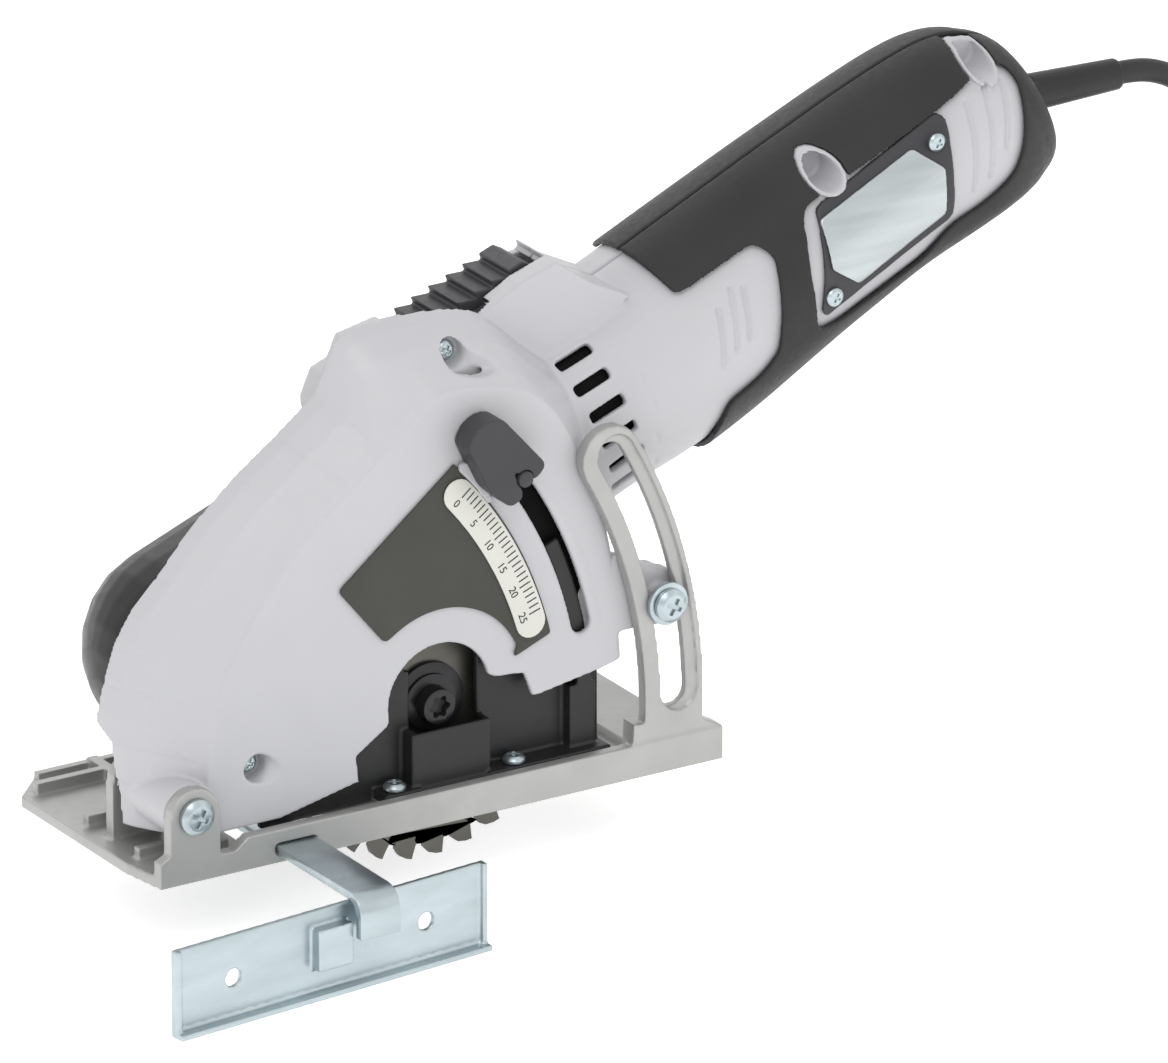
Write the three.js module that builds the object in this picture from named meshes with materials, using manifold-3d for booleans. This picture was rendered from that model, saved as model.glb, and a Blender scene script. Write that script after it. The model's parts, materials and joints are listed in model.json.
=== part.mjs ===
// Compact plunge saw: a motor body on a front pivot, a slotted base plate and a parallel fence.
// Millimetres. +X runs from the toe to the handle, +Y away from the blade side, +Z up.
// The origin lies on the sole, under the plunge pivot and half way across the base.
import * as THREE from 'three';
import { mergeVertices } from 'three/addons/utils/BufferGeometryUtils.js';
import Module from 'manifold-3d';

const wasm = await Module();
wasm.setup();

// ---------------------------------------------------------------- driving dimensions
const gap = 0.3;                    // between pieces that touch on the real machine
const degree = Math.PI / 180;

// base plate
const baseFront = -12.6;
const baseLength = 174;
const baseWidth = 77;
const plateThickness = 3;
const railHeight = 9.2;
const railThickness = 3.5;
const openingFront = 20;
const openingRear = 131;
const openingFarY = 18;

// plunge pivot
const pivotZ = 18.5;
const pivotBore = 8.6;
const sleeveDiameter = 8;
const farEarY = -9;
const earThickness = 3.5;

// blade and spindle
const bladeDiameter = 89;
const bladeThickness = 1.4;
const bladeTeeth = 30;
const arborDiameter = 10;
const hubX = 79.3;
const hubZ = 29;
const bladeY = -22.6;
const boltDiameter = 6;

// plunge guide, an arc about the pivot
const guideRadius = 146.5;
const guideHalfWidth = 9;
const guideSlotWidth = 8.4;
const guideThickness = 3.8;
const guideNearY = -38;
const guideSlotFrom = 1.3;
const guideSlotTo = 29.8;
const guideScrewAngle = 11.5;

// blade cover, the lower part of the near shell
const coverNearY = -33.6;
const coverRimY = -14;
const wall = 2;
const stopRadius = 123.3;
const stopSlotWidth = 5.8;
const stopSlotFrom = 12.5;
const stopSlotTo = 44.2;
const stopBlockAngle = 40.2;
const stopBlockThickness = 7.6;
const scaleRadius = 108.5;
const scaleWidth = 10;
const scaleFrom = 14.6;
const scaleTo = 42.9;

// motor body, on an axis tilted about the gear centre
const motorTilt = 21.3;
const gearX = 65.2;
const gearZ = 65.6;
const bodyRadius = 29;
const shellWall = 2.5;
const noseRadius = 28;
const noseCentre = -47.4;
const handleEnd = 228;
const ventFrom = 70;
const ventTo = 81;
const ventHeight = 3.2;
const ventTop = 50;
const ventStep = 16.8;
const ventCount = 6;

// gear train
const pinionPitch = 7;
const spindleGearPitch = 10.5;
const bevelPinionPitch = 7;
const bevelGearPitch = 17.5;
const gearFaceY = -12.3;
const gearFaceWidth = 6;
const caseNearY = -18.8;
const caseFarY = 11.5;
const shaftDiameter = 8;
const hubCaseRadius = 14.5;
const gearCaseRadius = 20;
const idlerCaseWall = 3;

// spindle lock button, on the far side
const lockX = 54.2;
const lockZ = 65.6;
const lockRadius = 5;
const lockTravel = 4;

// motor
const statorRadius = 25;
const statorFrom = 52;
const statorTo = 92;
const armatureRadius = 14;
const commutatorRadius = 10;
const fanRadius = 22;

// power switch slider, in the motor's frame
const sliderFrom = 43.5;
const sliderTo = 78;
const sliderLow = 43.7;
const sliderHalf = 7.6;
const ridgePitch = 5.6;
const switchTravel = 5;

// fence
const barX = 30.5;
const barWidth = 12;
const barThickness = 2.6;
const barBottomZ = 2.4;
const barFarY = 34;
const fenceX = 18.3;
const fenceY = -73.6;
const fenceLength = 100;
const fenceHeight = 24;
const fenceSheet = 1.6;
const fenceLip = 5;
const fenceSkew = 5.6;
const curlBend = 6;
const curlY = -74.5;

// supply cord
const cordDiameter = 6.4;
const cordZ = 151;
const sleeveFrom = 280;
const sleeveTo = 308;
const coilX = 352;
const coilY = -54;
const coilTurnRadius = 36.5;
const coilLayers = 4;
const plugX = 391;
const plugZ = -9;
const plugWidth = 36;
const plugThickness = 25;

// ---------------------------------------------------------------- materials
const finish = (color, roughness, metalness) =>
  new THREE.MeshStandardMaterial({ color, roughness, metalness });
const lightPlastic = finish(0xc8c8cc, 0.5, 0);
const darkPlastic = finish(0x38383a, 0.55, 0);
const blackPlastic = finish(0x1c1c1e, 0.45, 0);
const rubber = finish(0x353537, 0.8, 0);
const castAluminium = finish(0xb9b9b6, 0.5, 0.6);
const zinc = finish(0xb8c4ca, 0.35, 0.9);
const steel = finish(0x9a9a9c, 0.35, 0.9);
const darkSteel = finish(0x5c5b55, 0.45, 0.8);
const copper = finish(0xb87333, 0.4, 0.8);
const carbon = finish(0x26262a, 0.8, 0);
const cream = finish(0xdcdcd4, 0.6, 0);

// ---------------------------------------------------------------- solids and shapes
// A closed geometry as a solid that can be joined and cut.
function solid(geometry) {
  const bare = geometry.clone();
  bare.deleteAttribute('normal');
  bare.deleteAttribute('uv');
  const merged = mergeVertices(bare, 1e-4);
  return new wasm.Manifold(new wasm.Mesh({
    numProp: 3,
    vertProperties: new Float32Array(merged.attributes.position.array),
    triVerts: new Uint32Array(merged.index.array),
  }));
}

function geometryOf(body) {
  const mesh = body.getMesh();
  const geometry = new THREE.BufferGeometry();
  geometry.setAttribute('position', new THREE.BufferAttribute(mesh.vertProperties, 3));
  geometry.setIndex(new THREE.BufferAttribute(mesh.triVerts, 1));
  geometry.computeVertexNormals();
  return geometry;
}

const join = (first, ...others) => others.reduce((whole, part) => whole.add(part), first);
const cut = (first, ...others) => others.reduce((whole, part) => whole.subtract(part), first);

const pathShape = (points) => new THREE.Shape(points.map(([a, b]) => new THREE.Vector2(a, b)));

// A shape drawn in X and Z, given a thickness from y0 to y1.
function slab(shape, y0, y1, curveSegments = 12) {
  const geometry = new THREE.ExtrudeGeometry(shape, { depth: y1 - y0, bevelEnabled: false, curveSegments });
  return solid(geometry.rotateX(Math.PI / 2).translate(0, y1, 0));
}

// A shape drawn in X and Y, given a thickness from z0 to z1.
function plate(shape, z0, z1, curveSegments = 12) {
  const geometry = new THREE.ExtrudeGeometry(shape, { depth: z1 - z0, bevelEnabled: false, curveSegments });
  return solid(geometry.translate(0, 0, z0));
}

function box(x0, x1, y0, y1, z0, z1) {
  const geometry = new THREE.BoxGeometry(x1 - x0, y1 - y0, z1 - z0);
  return solid(geometry.translate((x0 + x1) / 2, (y0 + y1) / 2, (z0 + z1) / 2));
}

// A round bar along Y.
function barY(x, z, radius, y0, y1, sides = 28) {
  const geometry = new THREE.CylinderGeometry(radius, radius, y1 - y0, sides);
  return solid(geometry.translate(x, (y0 + y1) / 2, z));
}

// A round bar along X, on the axis.
function barAlong(radius, x0, x1, sides = 28) {
  const geometry = new THREE.CylinderGeometry(radius, radius, x1 - x0, sides);
  return solid(geometry.rotateZ(-Math.PI / 2).translate((x0 + x1) / 2, 0, 0));
}

function barZ(x, y, radius, z0, z1, sides = 24) {
  const geometry = new THREE.CylinderGeometry(radius, radius, z1 - z0, sides);
  return solid(geometry.rotateX(Math.PI / 2).translate(x, y, (z0 + z1) / 2));
}

// Moves a solid from the motor's own frame, with X along its axis, to the machine's frame.
function tilted(body) {
  const angle = -motorTilt * degree;
  const matrix = new THREE.Matrix4().makeRotationY(angle).setPosition(gearX, 0, gearZ);
  return solid(geometryOf(body).applyMatrix4(matrix));
}

function turnedInsideOut(geometry) {
  const turned = geometry.clone();
  turned.setIndex([...geometry.index.array].reverse());
  return turned;
}

// Triangles that fill a flat ring, turning the way the ring does.
function capFaces(ring, [first, second]) {
  const points = ring.map((p) => new THREE.Vector2(p[first], p[second]));
  const turn = Math.sign(THREE.ShapeUtils.area(points));
  return THREE.ShapeUtils.triangulateShape(points, []).map(([a, b, c]) => (
    Math.sign(THREE.ShapeUtils.area([points[a], points[b], points[c]])) === turn ? [a, b, c] : [a, c, b]));
}

// Joins closed rings of equally many points, given as [x, y, z], with flat end caps.
function loft(rings, capAxes) {
  const count = rings[0].length;
  const positions = rings.flat(2);
  const index = [];
  for (let r = 0; r + 1 < rings.length; r++) {
    for (let i = 0; i < count; i++) {
      const a = r * count + i;
      const b = r * count + (i + 1) % count;
      index.push(a, b, b + count, a, b + count, a + count);
    }
  }
  const last = (rings.length - 1) * count;
  capFaces(rings[0], capAxes).forEach(([a, b, c]) => index.push(c, b, a));
  capFaces(rings[rings.length - 1], capAxes).forEach(([a, b, c]) => index.push(last + a, last + b, last + c));
  const geometry = new THREE.BufferGeometry();
  geometry.setAttribute('position', new THREE.Float32BufferAttribute(positions, 3));
  geometry.setIndex(index);
  const body = solid(geometry);
  return body.volume() > 0 ? body : solid(turnedInsideOut(geometry));
}

const polar = (radius, angle, x = 0, z = pivotZ) =>
  [x + radius * Math.cos(angle * degree), z + radius * Math.sin(angle * degree)];

function arcPoints(radius, from, to, steps, x = 0, z = pivotZ) {
  return Array.from({ length: steps + 1 }, (_, i) => polar(radius, from + (to - from) * i / steps, x, z));
}

// A band about the pivot with round ends.
function arcBand(radius, halfWidth, from, to, steps = 12) {
  const [startX, startZ] = polar(radius, from);
  const [endX, endZ] = polar(radius, to);
  return pathShape([
    ...arcPoints(radius + halfWidth, from, to, steps),
    ...arcPoints(halfWidth, to, to + 180, 8, endX, endZ).slice(1, -1),
    ...arcPoints(radius - halfWidth, to, from, steps),
    ...arcPoints(halfWidth, from + 180, from + 360, 8, startX, startZ).slice(1, -1),
  ]);
}

// A gear outline whose teeth end just short of the pitch circle, so that gears turn freely.
function gearPoints(pitch, teeth) {
  const tip = pitch - gap / 2;
  const root = pitch - 1.5;
  const points = [];
  for (let i = 0; i < teeth; i++) {
    const step = 360 / teeth;
    [[root, 0], [root, 0.28], [tip, 0.42], [tip, 0.78]].forEach(([radius, share]) => {
      points.push(polar(radius, (i + share) * step, 0, 0));
    });
  }
  return points;
}

function spurGear(pitch, teeth, x, z) {
  const shape = pathShape(gearPoints(pitch, teeth).map(([a, b]) => [a + x, b + z]));
  return slab(shape, gearFaceY, gearFaceY + gearFaceWidth);
}

function ring(x, z, inner, outer, y0, y1, sides = 28) {
  return cut(barY(x, z, outer, y0, y1, sides), barY(x, z, inner, y0 - 1, y1 + 1, sides));
}

const group = new THREE.Group();

function add(parent, name, body, material) {
  const mesh = new THREE.Mesh(body.isBufferGeometry ? body : geometryOf(body), material.clone());
  mesh.name = name;
  parent.add(mesh);
  return mesh;
}

// ---------------------------------------------------------------- base plate
const baseNear = -baseWidth / 2;
const baseFar = baseWidth / 2;
const baseRear = baseFront + baseLength;
const railInner = baseNear + railThickness;
const [guideScrewX, guideScrewZ] = polar(guideRadius, guideScrewAngle);

function basePlate() {
  const corner = 9;
  const sheet = plate(pathShape([
    [baseFront + 2, baseNear], [baseRear, baseNear], [baseRear, baseFar - 4], [baseRear - 4, baseFar],
    [baseFront + corner, baseFar], [baseFront, baseFar - corner], [baseFront, baseNear + 14],
  ]), 0, plateThickness);
  const opening = plate(pathShape([
    [openingFront, railInner], [openingRear, railInner], [openingRear, openingFarY],
    [openingFront, openingFarY],
  ]), -1, plateThickness + 1);
  const rail = slab(pathShape([
    [baseFront + 2, 0], [baseRear, 0], [baseRear, railHeight], [16, railHeight], [12, 6], [2.5, 6],
    [0, 9.5], [-6, 9.5], [baseFront + 2, 7],
  ]), baseNear, railInner);
  const farRim = slab(pathShape([
    [baseFront + corner, 0], [baseRear - 4, 0], [baseRear - 4, 6], [baseFront + corner, 5],
  ]), baseFar - 2.5, baseFar);
  const ear = (y0, y1) => slab(pathShape([
    [7.5, 1], [7.5, pivotZ], ...arcPoints(7.5, 0, 180, 10, 0, pivotZ), [-7.5, 1],
  ]), y0, y1);
  const nearEar = ear(baseNear, railInner);
  const farEar = ear(farEarY, farEarY + earThickness);
  const guide = slab(arcBand(guideRadius, guideHalfWidth, -3, guideSlotTo),
    guideNearY, guideNearY + guideThickness, 6);
  const foot = slab(pathShape([
    [133, 1], [baseRear, 1], [baseRear, railHeight], [156, 12], [134, 15],
  ]), guideNearY, guideNearY + guideThickness + 2);
  const slot = slab(arcBand(guideRadius, guideSlotWidth / 2, guideSlotFrom, guideSlotTo),
    guideNearY - 5, guideNearY + guideThickness + 5);
  const groove = slab(arcBand(guideRadius + 1.6, guideSlotWidth / 2 + 1.4, guideSlotFrom, guideSlotTo),
    guideNearY - 1, guideNearY + 1.2);
  const toeRibs = [-24, 2, 28].map((y) => box(baseFront + 4, 14, y, y + 2.5, 1, 6));
  const crossRib = box(12, 15, -30, baseFar - 1, 1, 6);
  const rearRib = box(openingRear + 6, openingRear + 9, railInner - 1, baseFar - 1, 1, 7);
  const barSlot = box(barX - barWidth / 2 - gap, barX + barWidth / 2 + gap, baseNear - 1, railInner + 1,
    barBottomZ - gap, barBottomZ + barThickness + gap);
  const bridge = box(openingFront - 2, 44, 8, 13, 0, 8);
  const bridgeSlot = box(barX - barWidth / 2 - gap, barX + barWidth / 2 + gap, 6, baseFar + 1,
    barBottomZ - gap, barBottomZ + barThickness + 2.2);
  const bridgeFoot = box(openingFront - 1, 44, 12, openingFarY + 1, 0, plateThickness);
  const pivotBores = barY(0, pivotZ, 3 + gap, baseNear - 5, farEarY + earThickness + 5, 24);
  return cut(join(cut(sheet, opening), rail, farRim, nearEar, farEar, guide, foot, crossRib, rearRib,
    bridge, bridgeFoot, ...toeRibs), slot, groove, barSlot, bridgeSlot, pivotBores);
}

const guardScrews = [['front', 64.5], ['rear', 101]];
const guardScrewY = -31.3;

// The black guard in front of the blade, with a pocket for the bolt and the arm of the depth stop.
function lowerGuard() {
  const wallFar = bladeY - 3.4;
  const wallNear = wallFar - 1.8;
  const flangeBottom = railHeight - 2.4;
  const flangeTop = railHeight + 0.3;
  const footZ = barBottomZ + barThickness + gap;
  const upright = slab(pathShape([
    [26, footZ], [129, footZ], [129, 33], [98, 36], [93, 46], [63, 46], [52, 24], [26, 14],
  ]), wallNear, wallFar);
  const flange = box(60, 129, railInner + gap, wallFar, flangeBottom, flangeTop);
  const pocketBlock = box(69, 93, -33, wallFar, flangeBottom, 24);
  const pocket = box(71.2, 91.8, -31.8, wallFar + 1, 8.6, 60);
  const boltSlot = box(hubX - 7.3, hubX + 7.3, -32.6, wallFar + 1, 8.6, 60);
  const armShape = pathShape([
    ...arcPoints(stopRadius + 2.2, 1, 24, 8), ...arcPoints(stopRadius - 2.2, 24, 1, 8),
  ]);
  const armNear = coverNearY + wall + gap;
  const arm = slab(armShape, armNear, armNear + 2);
  const armFoot = box(stopRadius - 5, stopRadius + 3, armNear, wallFar, flangeBottom, 27);
  const screwHoles = guardScrews.map(([, x]) => barZ(x, guardScrewY, 1.9, 0, 20));
  const window = join(
    box(71.2, 91.8, -34, wallFar + 1, 8.6, 60),
    box(69.7, 75, -34, wallFar + 1, 40, 60),
  );
  return cut(join(cut(join(upright, flange), window), cut(pocketBlock, pocket), arm, armFoot),
    boltSlot.subtract(box(60, 100, -33.1, -31.8, 0, 24.1)), ...screwHoles,
    ...guardScrews.map(([, x]) => barZ(x, guardScrewY, 3.5, flangeTop, flangeTop + 3)));
}

// A pan-head screw along -Y: its head stands at headY, its shank runs away from it.
function screwY(x, z, headRadius, headHeight, shankRadius, headY, length) {
  const profile = [
    [0, 0], [headRadius, 0], [headRadius, headHeight * 0.45], [headRadius * 0.7, headHeight * 0.88],
    [0, headHeight],
  ].map(([a, b]) => new THREE.Vector2(a, b));
  const head = solid(new THREE.LatheGeometry(profile, 24).rotateX(Math.PI).translate(x, headY, z));
  const shank = barY(x, z, shankRadius, headY - 0.05, headY + length, 16);
  const cross = [0, 1].map((turn) => {
    const blade = new THREE.BoxGeometry(headRadius * 1.05, headHeight * 0.9, headRadius * 0.26);
    return solid(blade.rotateY(turn * Math.PI / 2 + 0.5).translate(x, headY - headHeight, z));
  });
  return cut(join(head, shank), ...cross);
}

// The same screw standing upright: its head sits on z, its shank runs down.
function screwZ(x, y, z, headRadius, headHeight, shankRadius, length) {
  const upright = new THREE.Matrix4().makeRotationX(-Math.PI / 2).setPosition(x, y, z);
  const flat = screwY(0, 0, headRadius, headHeight, shankRadius, 0, length);
  return solid(geometryOf(flat).applyMatrix4(upright));
}

const base = new THREE.Group();
group.add(base);
add(base, 'base_plate', basePlate(), castAluminium);
add(base, 'lower_blade_guard', lowerGuard(), blackPlastic);
guardScrews.forEach(([place, x]) => {
  add(base, `guard_screw_${place}`, screwZ(x, guardScrewY, railHeight + 0.6, 3.1, 2, 1.6, 6), zinc);
});
add(base, 'pivot_screw', screwY(0, pivotZ, 4.9, 2.6, 3, baseNear - gap, 36), zinc);
add(base, 'pivot_sleeve',
  ring(0, pivotZ, 3 + gap, sleeveDiameter / 2, railInner + gap, farEarY - gap, 24), steel);

// Torsion spring that lifts the body off the work, wound round the sleeve beside the far ear.
function returnSpring() {
  const points = Array.from({ length: 61 }, (_, i) => {
    const [x, z] = polar(6.1, i / 60 * 360 * 2.5, 0, 0);
    return new THREE.Vector3(x, i / 60 * 3.4, z);
  });
  const wire = new THREE.Shape();
  wire.absarc(0, 0, 0.5, 0, Math.PI * 2);
  const geometry = new THREE.ExtrudeGeometry(wire, {
    steps: 60, curveSegments: 4, bevelEnabled: false, extrudePath: new THREE.CatmullRomCurve3(points),
  });
  return geometry.translate(0, farEarY - 4.2, pivotZ);
}
add(base, 'return_spring', solid(returnSpring()), steel);

// ---------------------------------------------------------------- fence
function fenceBar() {
  const near = barX - barWidth / 2;
  const far = barX + barWidth / 2;
  const topZ = barBottomZ + barThickness;
  const bendZ = topZ - curlBend;
  const innerBend = curlBend - barThickness;
  const tongue = box(near, far, curlY, barFarY, barBottomZ, topZ);
  const roll = (radius, length) => solid(new THREE.CylinderGeometry(radius, radius, length, 24)
    .rotateZ(Math.PI / 2).translate(barX, curlY, bendZ));
  const drop = box(near, far, curlY - curlBend, curlY - innerBend, bendZ - 6, bendZ);
  const behind = box(near - 5, far + 5, curlY, curlY + 20, bendZ - 10, topZ + 1);
  const below = box(near - 5, far + 5, curlY - innerBend, curlY + 20, bendZ - 10, bendZ);
  const curl = cut(join(roll(curlBend, barWidth), drop), roll(innerBend, barWidth + 2), behind, below);
  return join(tongue, curl);
}

// A shallow pressed channel with its lips towards the outside, and the folded tab that holds the bar.
function fencePlate() {
  const half = fenceLength / 2;
  const sheet = box(-half, half, -fenceSheet, 0, -fenceHeight, 0);
  const lips = [
    box(-half, half, -fenceLip, 0, -fenceHeight, -fenceHeight + fenceSheet),
    box(-half, -half + fenceSheet, -fenceLip * 0.6, 0, -fenceHeight, 0),
    box(half - fenceSheet, half, -fenceLip * 0.6, 0, -fenceHeight, 0),
  ];
  const holes = [-31, 31].map((x) => barY(x, -fenceHeight / 2, 2.5, -4, 2, 20));
  const tabEdge = barX - barWidth / 2 - fenceX - 4 * gap;
  const tab = box(tabEdge - 11, tabEdge, -5, -fenceSheet + 0.1, -16, -4.5);
  return cut(join(sheet, ...lips, tab), ...holes);
}

const fence = new THREE.Group();
group.add(fence);
add(fence, 'fence_bar', fenceBar(), zinc);
const fenceMesh = add(fence, 'fence_plate', fencePlate(), zinc);
fenceMesh.position.set(fenceX, fenceY, barBottomZ - gap);
fenceMesh.rotation.z = fenceSkew * degree;
// Leaf spring between the bar and the bridge: its friction holds the fence where it is set.
add(base, 'fence_spring_clip', slab(pathShape([
  [barX - 6, 0], [barX + 6, 0], [barX + 6, 0.5], [barX + 3, 1.4], [barX - 3, 1.4], [barX - 6, 0.5],
].map(([x, z]) => [x, z + barBottomZ + barThickness + gap])), 7.4, 13.6), steel);

// ---------------------------------------------------------------- saw head: outer shells
// The idler gear sits in line between the pinion and the spindle gear.
const [idlerX, idlerZ, idlerPitch] = idlerPlace();

function idlerPlace() {
  const span = Math.hypot(hubX - gearX, hubZ - gearZ);
  const pitch = (span - pinionPitch - spindleGearPitch) / 2;
  const share = (pinionPitch + pitch) / span;
  return [gearX + (hubX - gearX) * share, gearZ + (hubZ - gearZ) * share, pitch];
}

// The three joined rounds of the gear case, seen from the side, grown by extra.
function caseOutline(extra, y0, y1) {
  return join(barY(hubX, hubZ, hubCaseRadius + extra, y0, y1, 32),
    barY(gearX, gearZ, gearCaseRadius + extra, y0, y1, 36),
    barY(idlerX, idlerZ, idlerPitch + idlerCaseWall + extra, y0, y1, 32));
}

// The cover's outline seen from the side: each row is a point of the near face and of the rim.
const coverRows = [
  [[5, 6], [-7.5, 8]], [[5.4, 18], [-9.5, 22]], [[6, 29], [-11, 33]], [[7.5, 38], [-15.5, 40]],
  [[9.5, 46], [-13.2, 50]], [[12, 53], [-10, 60]], [[17.2, 62], [-5, 68]], [[23.8, 72], [3, 76]],
  [[30.5, 81], [13.5, 88]], [[40, 90.5], [27, 99.5]], [[50.3, 98.5], [39, 108]], [[59.3, 105.3], [51, 117]],
  [[66, 111], [57, 130]], [[72, 115.5], [62, 133]], [[80, 119], [77, 134]], [[100, 116], [98, 131]],
  [[111, 109], [112, 120]], [[119, 97], [120, 100]], [[126, 80], [126, 80]], [[131, 60], [131, 60]],
  [[133.4, 32.2], [133.4, 32.2]], [[120, 6], [120, 8]],
];

// The cover narrowed by an inset, as rings from its near face to its rim.
function coverLoft(inset, nearY, rimY) {
  const stations = [
    [nearY, -1.6], [nearY + 1.2, -0.3], [nearY + 3.2, 0.14], [-24, 0.6], [-18, 0.88], [rimY, 1],
  ];
  const centre = [70, 62];
  const rings = stations.map(([y, share]) => coverRows.map(([near, rim]) => {
    const edge = share < 0 ? near : [0, 1].map((k) => near[k] + (rim[k] - near[k]) * share);
    const toCentre = [centre[0] - edge[0], centre[1] - edge[1]];
    const away = Math.hypot(...toCentre);
    const shrink = (inset + (share < 0 ? -share : 0)) / away;
    return [edge[0] + toCentre[0] * shrink, y, edge[1] + toCentre[1] * shrink];
  }));
  return loft(rings, [0, 2]);
}

// The motor body: radius, lift of its centre and station along the motor axis.
const bodyStations = [
  [4.6, 29, 0], [60, 29, 0], [78, 28, 0], [100, 28.6, 0], [120, 28.3, 1.6], [150, 27, 4.8], [180, 26, 7.2],
  [200, 26, 7.2], [212, 25, 6.6], [220, 22.5, 5.2], [226, 18.5, 3.6], [handleEnd, 15, 3],
];

function bodyLoft(inset, from, to, sides = 28) {
  const at = (s) => {
    const next = Math.max(1, bodyStations.findIndex((row) => row[0] >= s));
    const [s0, r0, c0] = bodyStations[next - 1];
    const [s1, r1, c1] = bodyStations[next];
    const share = (s - s0) / (s1 - s0);
    return [r0 + (r1 - r0) * share, c0 + (c1 - c0) * share];
  };
  const places = [from, ...bodyStations.map((row) => row[0]).filter((s) => s > from && s < to), to];
  const rings = places.map((s) => {
    const [radius, lift] = at(s);
    return Array.from({ length: sides }, (_, i) => {
      const turn = (i + 0.5) / sides * 2 * Math.PI;
      return [s, (radius - inset) * Math.cos(turn), lift + (radius - inset) * Math.sin(turn)];
    });
  });
  return loft(rings, [1, 2]);
}

// Two of the screws that hold the halves together: place, X, Z and the face they are sunk into.
const shellScrews = [['front', 21.5, 25.4, coverNearY], ['top', 86.2, 124.5, -26.5]];
const screwSink = 6;
const screwLength = 9;
const recessRadius = 3.9;
const screwSeat = (x, z, faceY) => join(
  barY(x, z, recessRadius, faceY - screwSink, faceY + screwSink, 20),
  barY(x, z, 1.6, faceY - screwSink, faceY + screwSink + screwLength + 1, 16),
);

// Round recesses in the grip's upper flank: place along and above the motor axis, and the floor's Y.
const scoops = [[160.3, 27, -9], [214.8, 27.3, -4.5]];
const scoopRadius = 4.2;
const scoopLedge = 1;
const scoopRound = ([s, h], radius, y0, y1) => tilted(barY(s, h, radius, y0, y1, 16));
const scoopOpenings = () => scoops.map((scoop) => scoopRound(scoop, scoopRadius + scoopLedge + gap, -60, 0));

const nearHalf = box(-120, 300, -80, -gap / 2, -120, 200);
const farHalf = box(-120, 300, gap / 2, 80, -120, 200);

// The raised head that carries the switch, drawn along the motor axis.
const headOutline = [
  [8, 20], [12, 38], [19, 45], [26, 51.5], [40, 49], [82, 47], [89, 36], [98, 26], [60, 15],
];
const headNearY = coverRimY - 1;
const headFarY = 13;
function head(inset) {
  const shape = pathShape(headOutline.map(([s, h]) => [s + (s < 50 ? inset : -inset * 0.6), h - inset]));
  return slab(shape, headNearY + inset, headFarY - inset);
}

const switchWell = box(sliderFrom - switchTravel - gap, sliderTo + 4.5, -sliderHalf - 2 * gap,
  sliderHalf + 2 * gap, sliderLow - gap, 60);

const underCover = pathShape([
  [-25, -20], [-25, 9], [5, 9.6], [29, 9.9], [52.5, 15], [51.7, 22.2], [61.1, 28.4],
  ...arcPoints(15.5, 192, 14, 14, 77, 33), [94, 35.6], [103, 34.8], [105.5, 28], [107.5, 27.8],
  [126.5, 31], [133, 32.6], [145, 36], [150, -20],
]);

function stopSlot(extra = 0) {
  const band = arcBand(stopRadius, stopSlotWidth / 2 + extra, stopSlotFrom, stopSlotTo);
  return slab(band, coverNearY - 2, -30, 6);
}

// Cooling slots along the motor body, spaced round it from the top down the near side.
function vents() {
  return Array.from({ length: ventCount }, (_, i) => {
    const slot = new THREE.BoxGeometry(ventTo - ventFrom, 10, ventHeight);
    slot.translate((ventFrom + ventTo) / 2, -bodyRadius, 0).rotateX(-(ventTop - i * ventStep) * degree);
    return tilted(solid(slot));
  });
}

function housingBody() {
  return join(
    tilted(cut(bodyLoft(0, 4.6, handleEnd), bodyLoft(shellWall, 4, handleEnd - 3))),
    tilted(cut(cut(head(0), head(shellWall)), box(22, 80, -12, 11, 10, 46))),
  );
}

// Near half of the housing: blade cover, motor body and grip in one moulding.
function nearShell() {
  const cover = coverLoft(0, coverNearY, coverRimY);
  const chamber = coverLoft(wall, coverNearY + wall, coverRimY + 0.2);
  const body = housingBody().intersect(nearHalf);
  const motorSpace = tilted(bodyLoft(shellWall, 4, 150));
  const lug = slab(pathShape([
    [126, 40], [131, 62], [138, 59], [guideScrewX, guideScrewZ + 8],
    ...arcPoints(8, 60, -110, 10, guideScrewX, guideScrewZ),
  ]), coverNearY, coverNearY + 5);
  const spigot = barY(guideScrewX, guideScrewZ, guideSlotWidth / 2 - gap,
    guideNearY - gap + 0.1, coverNearY + 8);
  const boltBoss = barY(guideScrewX, guideScrewZ, 7.2, coverNearY, coverNearY + 10);
  const pivotBoss = barY(0, pivotZ, 7.4, railInner + gap, coverRimY);
  const screwBosses = shellScrews.map(([, x, z, faceY]) => (
    barY(x, z, recessRadius + 1.5, faceY + 1, faceY + screwSink + 6, 20)));
  const flank = tilted(bodyLoft(-1.6, 80, handleEnd - 1));
  const scoopBosses = scoops.map((scoop) => (
    scoopRound(scoop, scoopRadius + scoopLedge, -60, scoop[2] + wall).intersect(flank)));
  const skin = join(cut(cover, chamber), body, lug, boltBoss, spigot, ...scoopBosses);
  const bladeSpace = cut(chamber, tilted(box(-60, 300, -60, 60, bodyRadius, 80)));
  const opened = cut(skin, bladeSpace, motorSpace.intersect(nearHalf));
  return cut(join(cut(opened, slab(underCover, -45, -5)), pivotBoss, ...screwBosses),
    barY(0, pivotZ, pivotBore / 2, -50, 0, 24), stopSlot(), tilted(switchWell), ...vents(),
    barY(guideScrewX, guideScrewZ, 2.6, -50, -27, 16), caseOutline(gap, caseNearY - gap, 40),
    ...shellScrews.map(([, x, z, faceY]) => screwSeat(x, z, faceY)), sleeveSeat(4, 10, gap),
    ...scoops.map((scoop) => scoopRound(scoop, scoopRadius, -60, scoop[2])),
    ...plateScrews().map(([, x, z]) => barY(x, z, 1.6, -60, -17, 16)));
}
add(group, 'housing_near_shell', nearShell(), lightPlastic);

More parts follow.
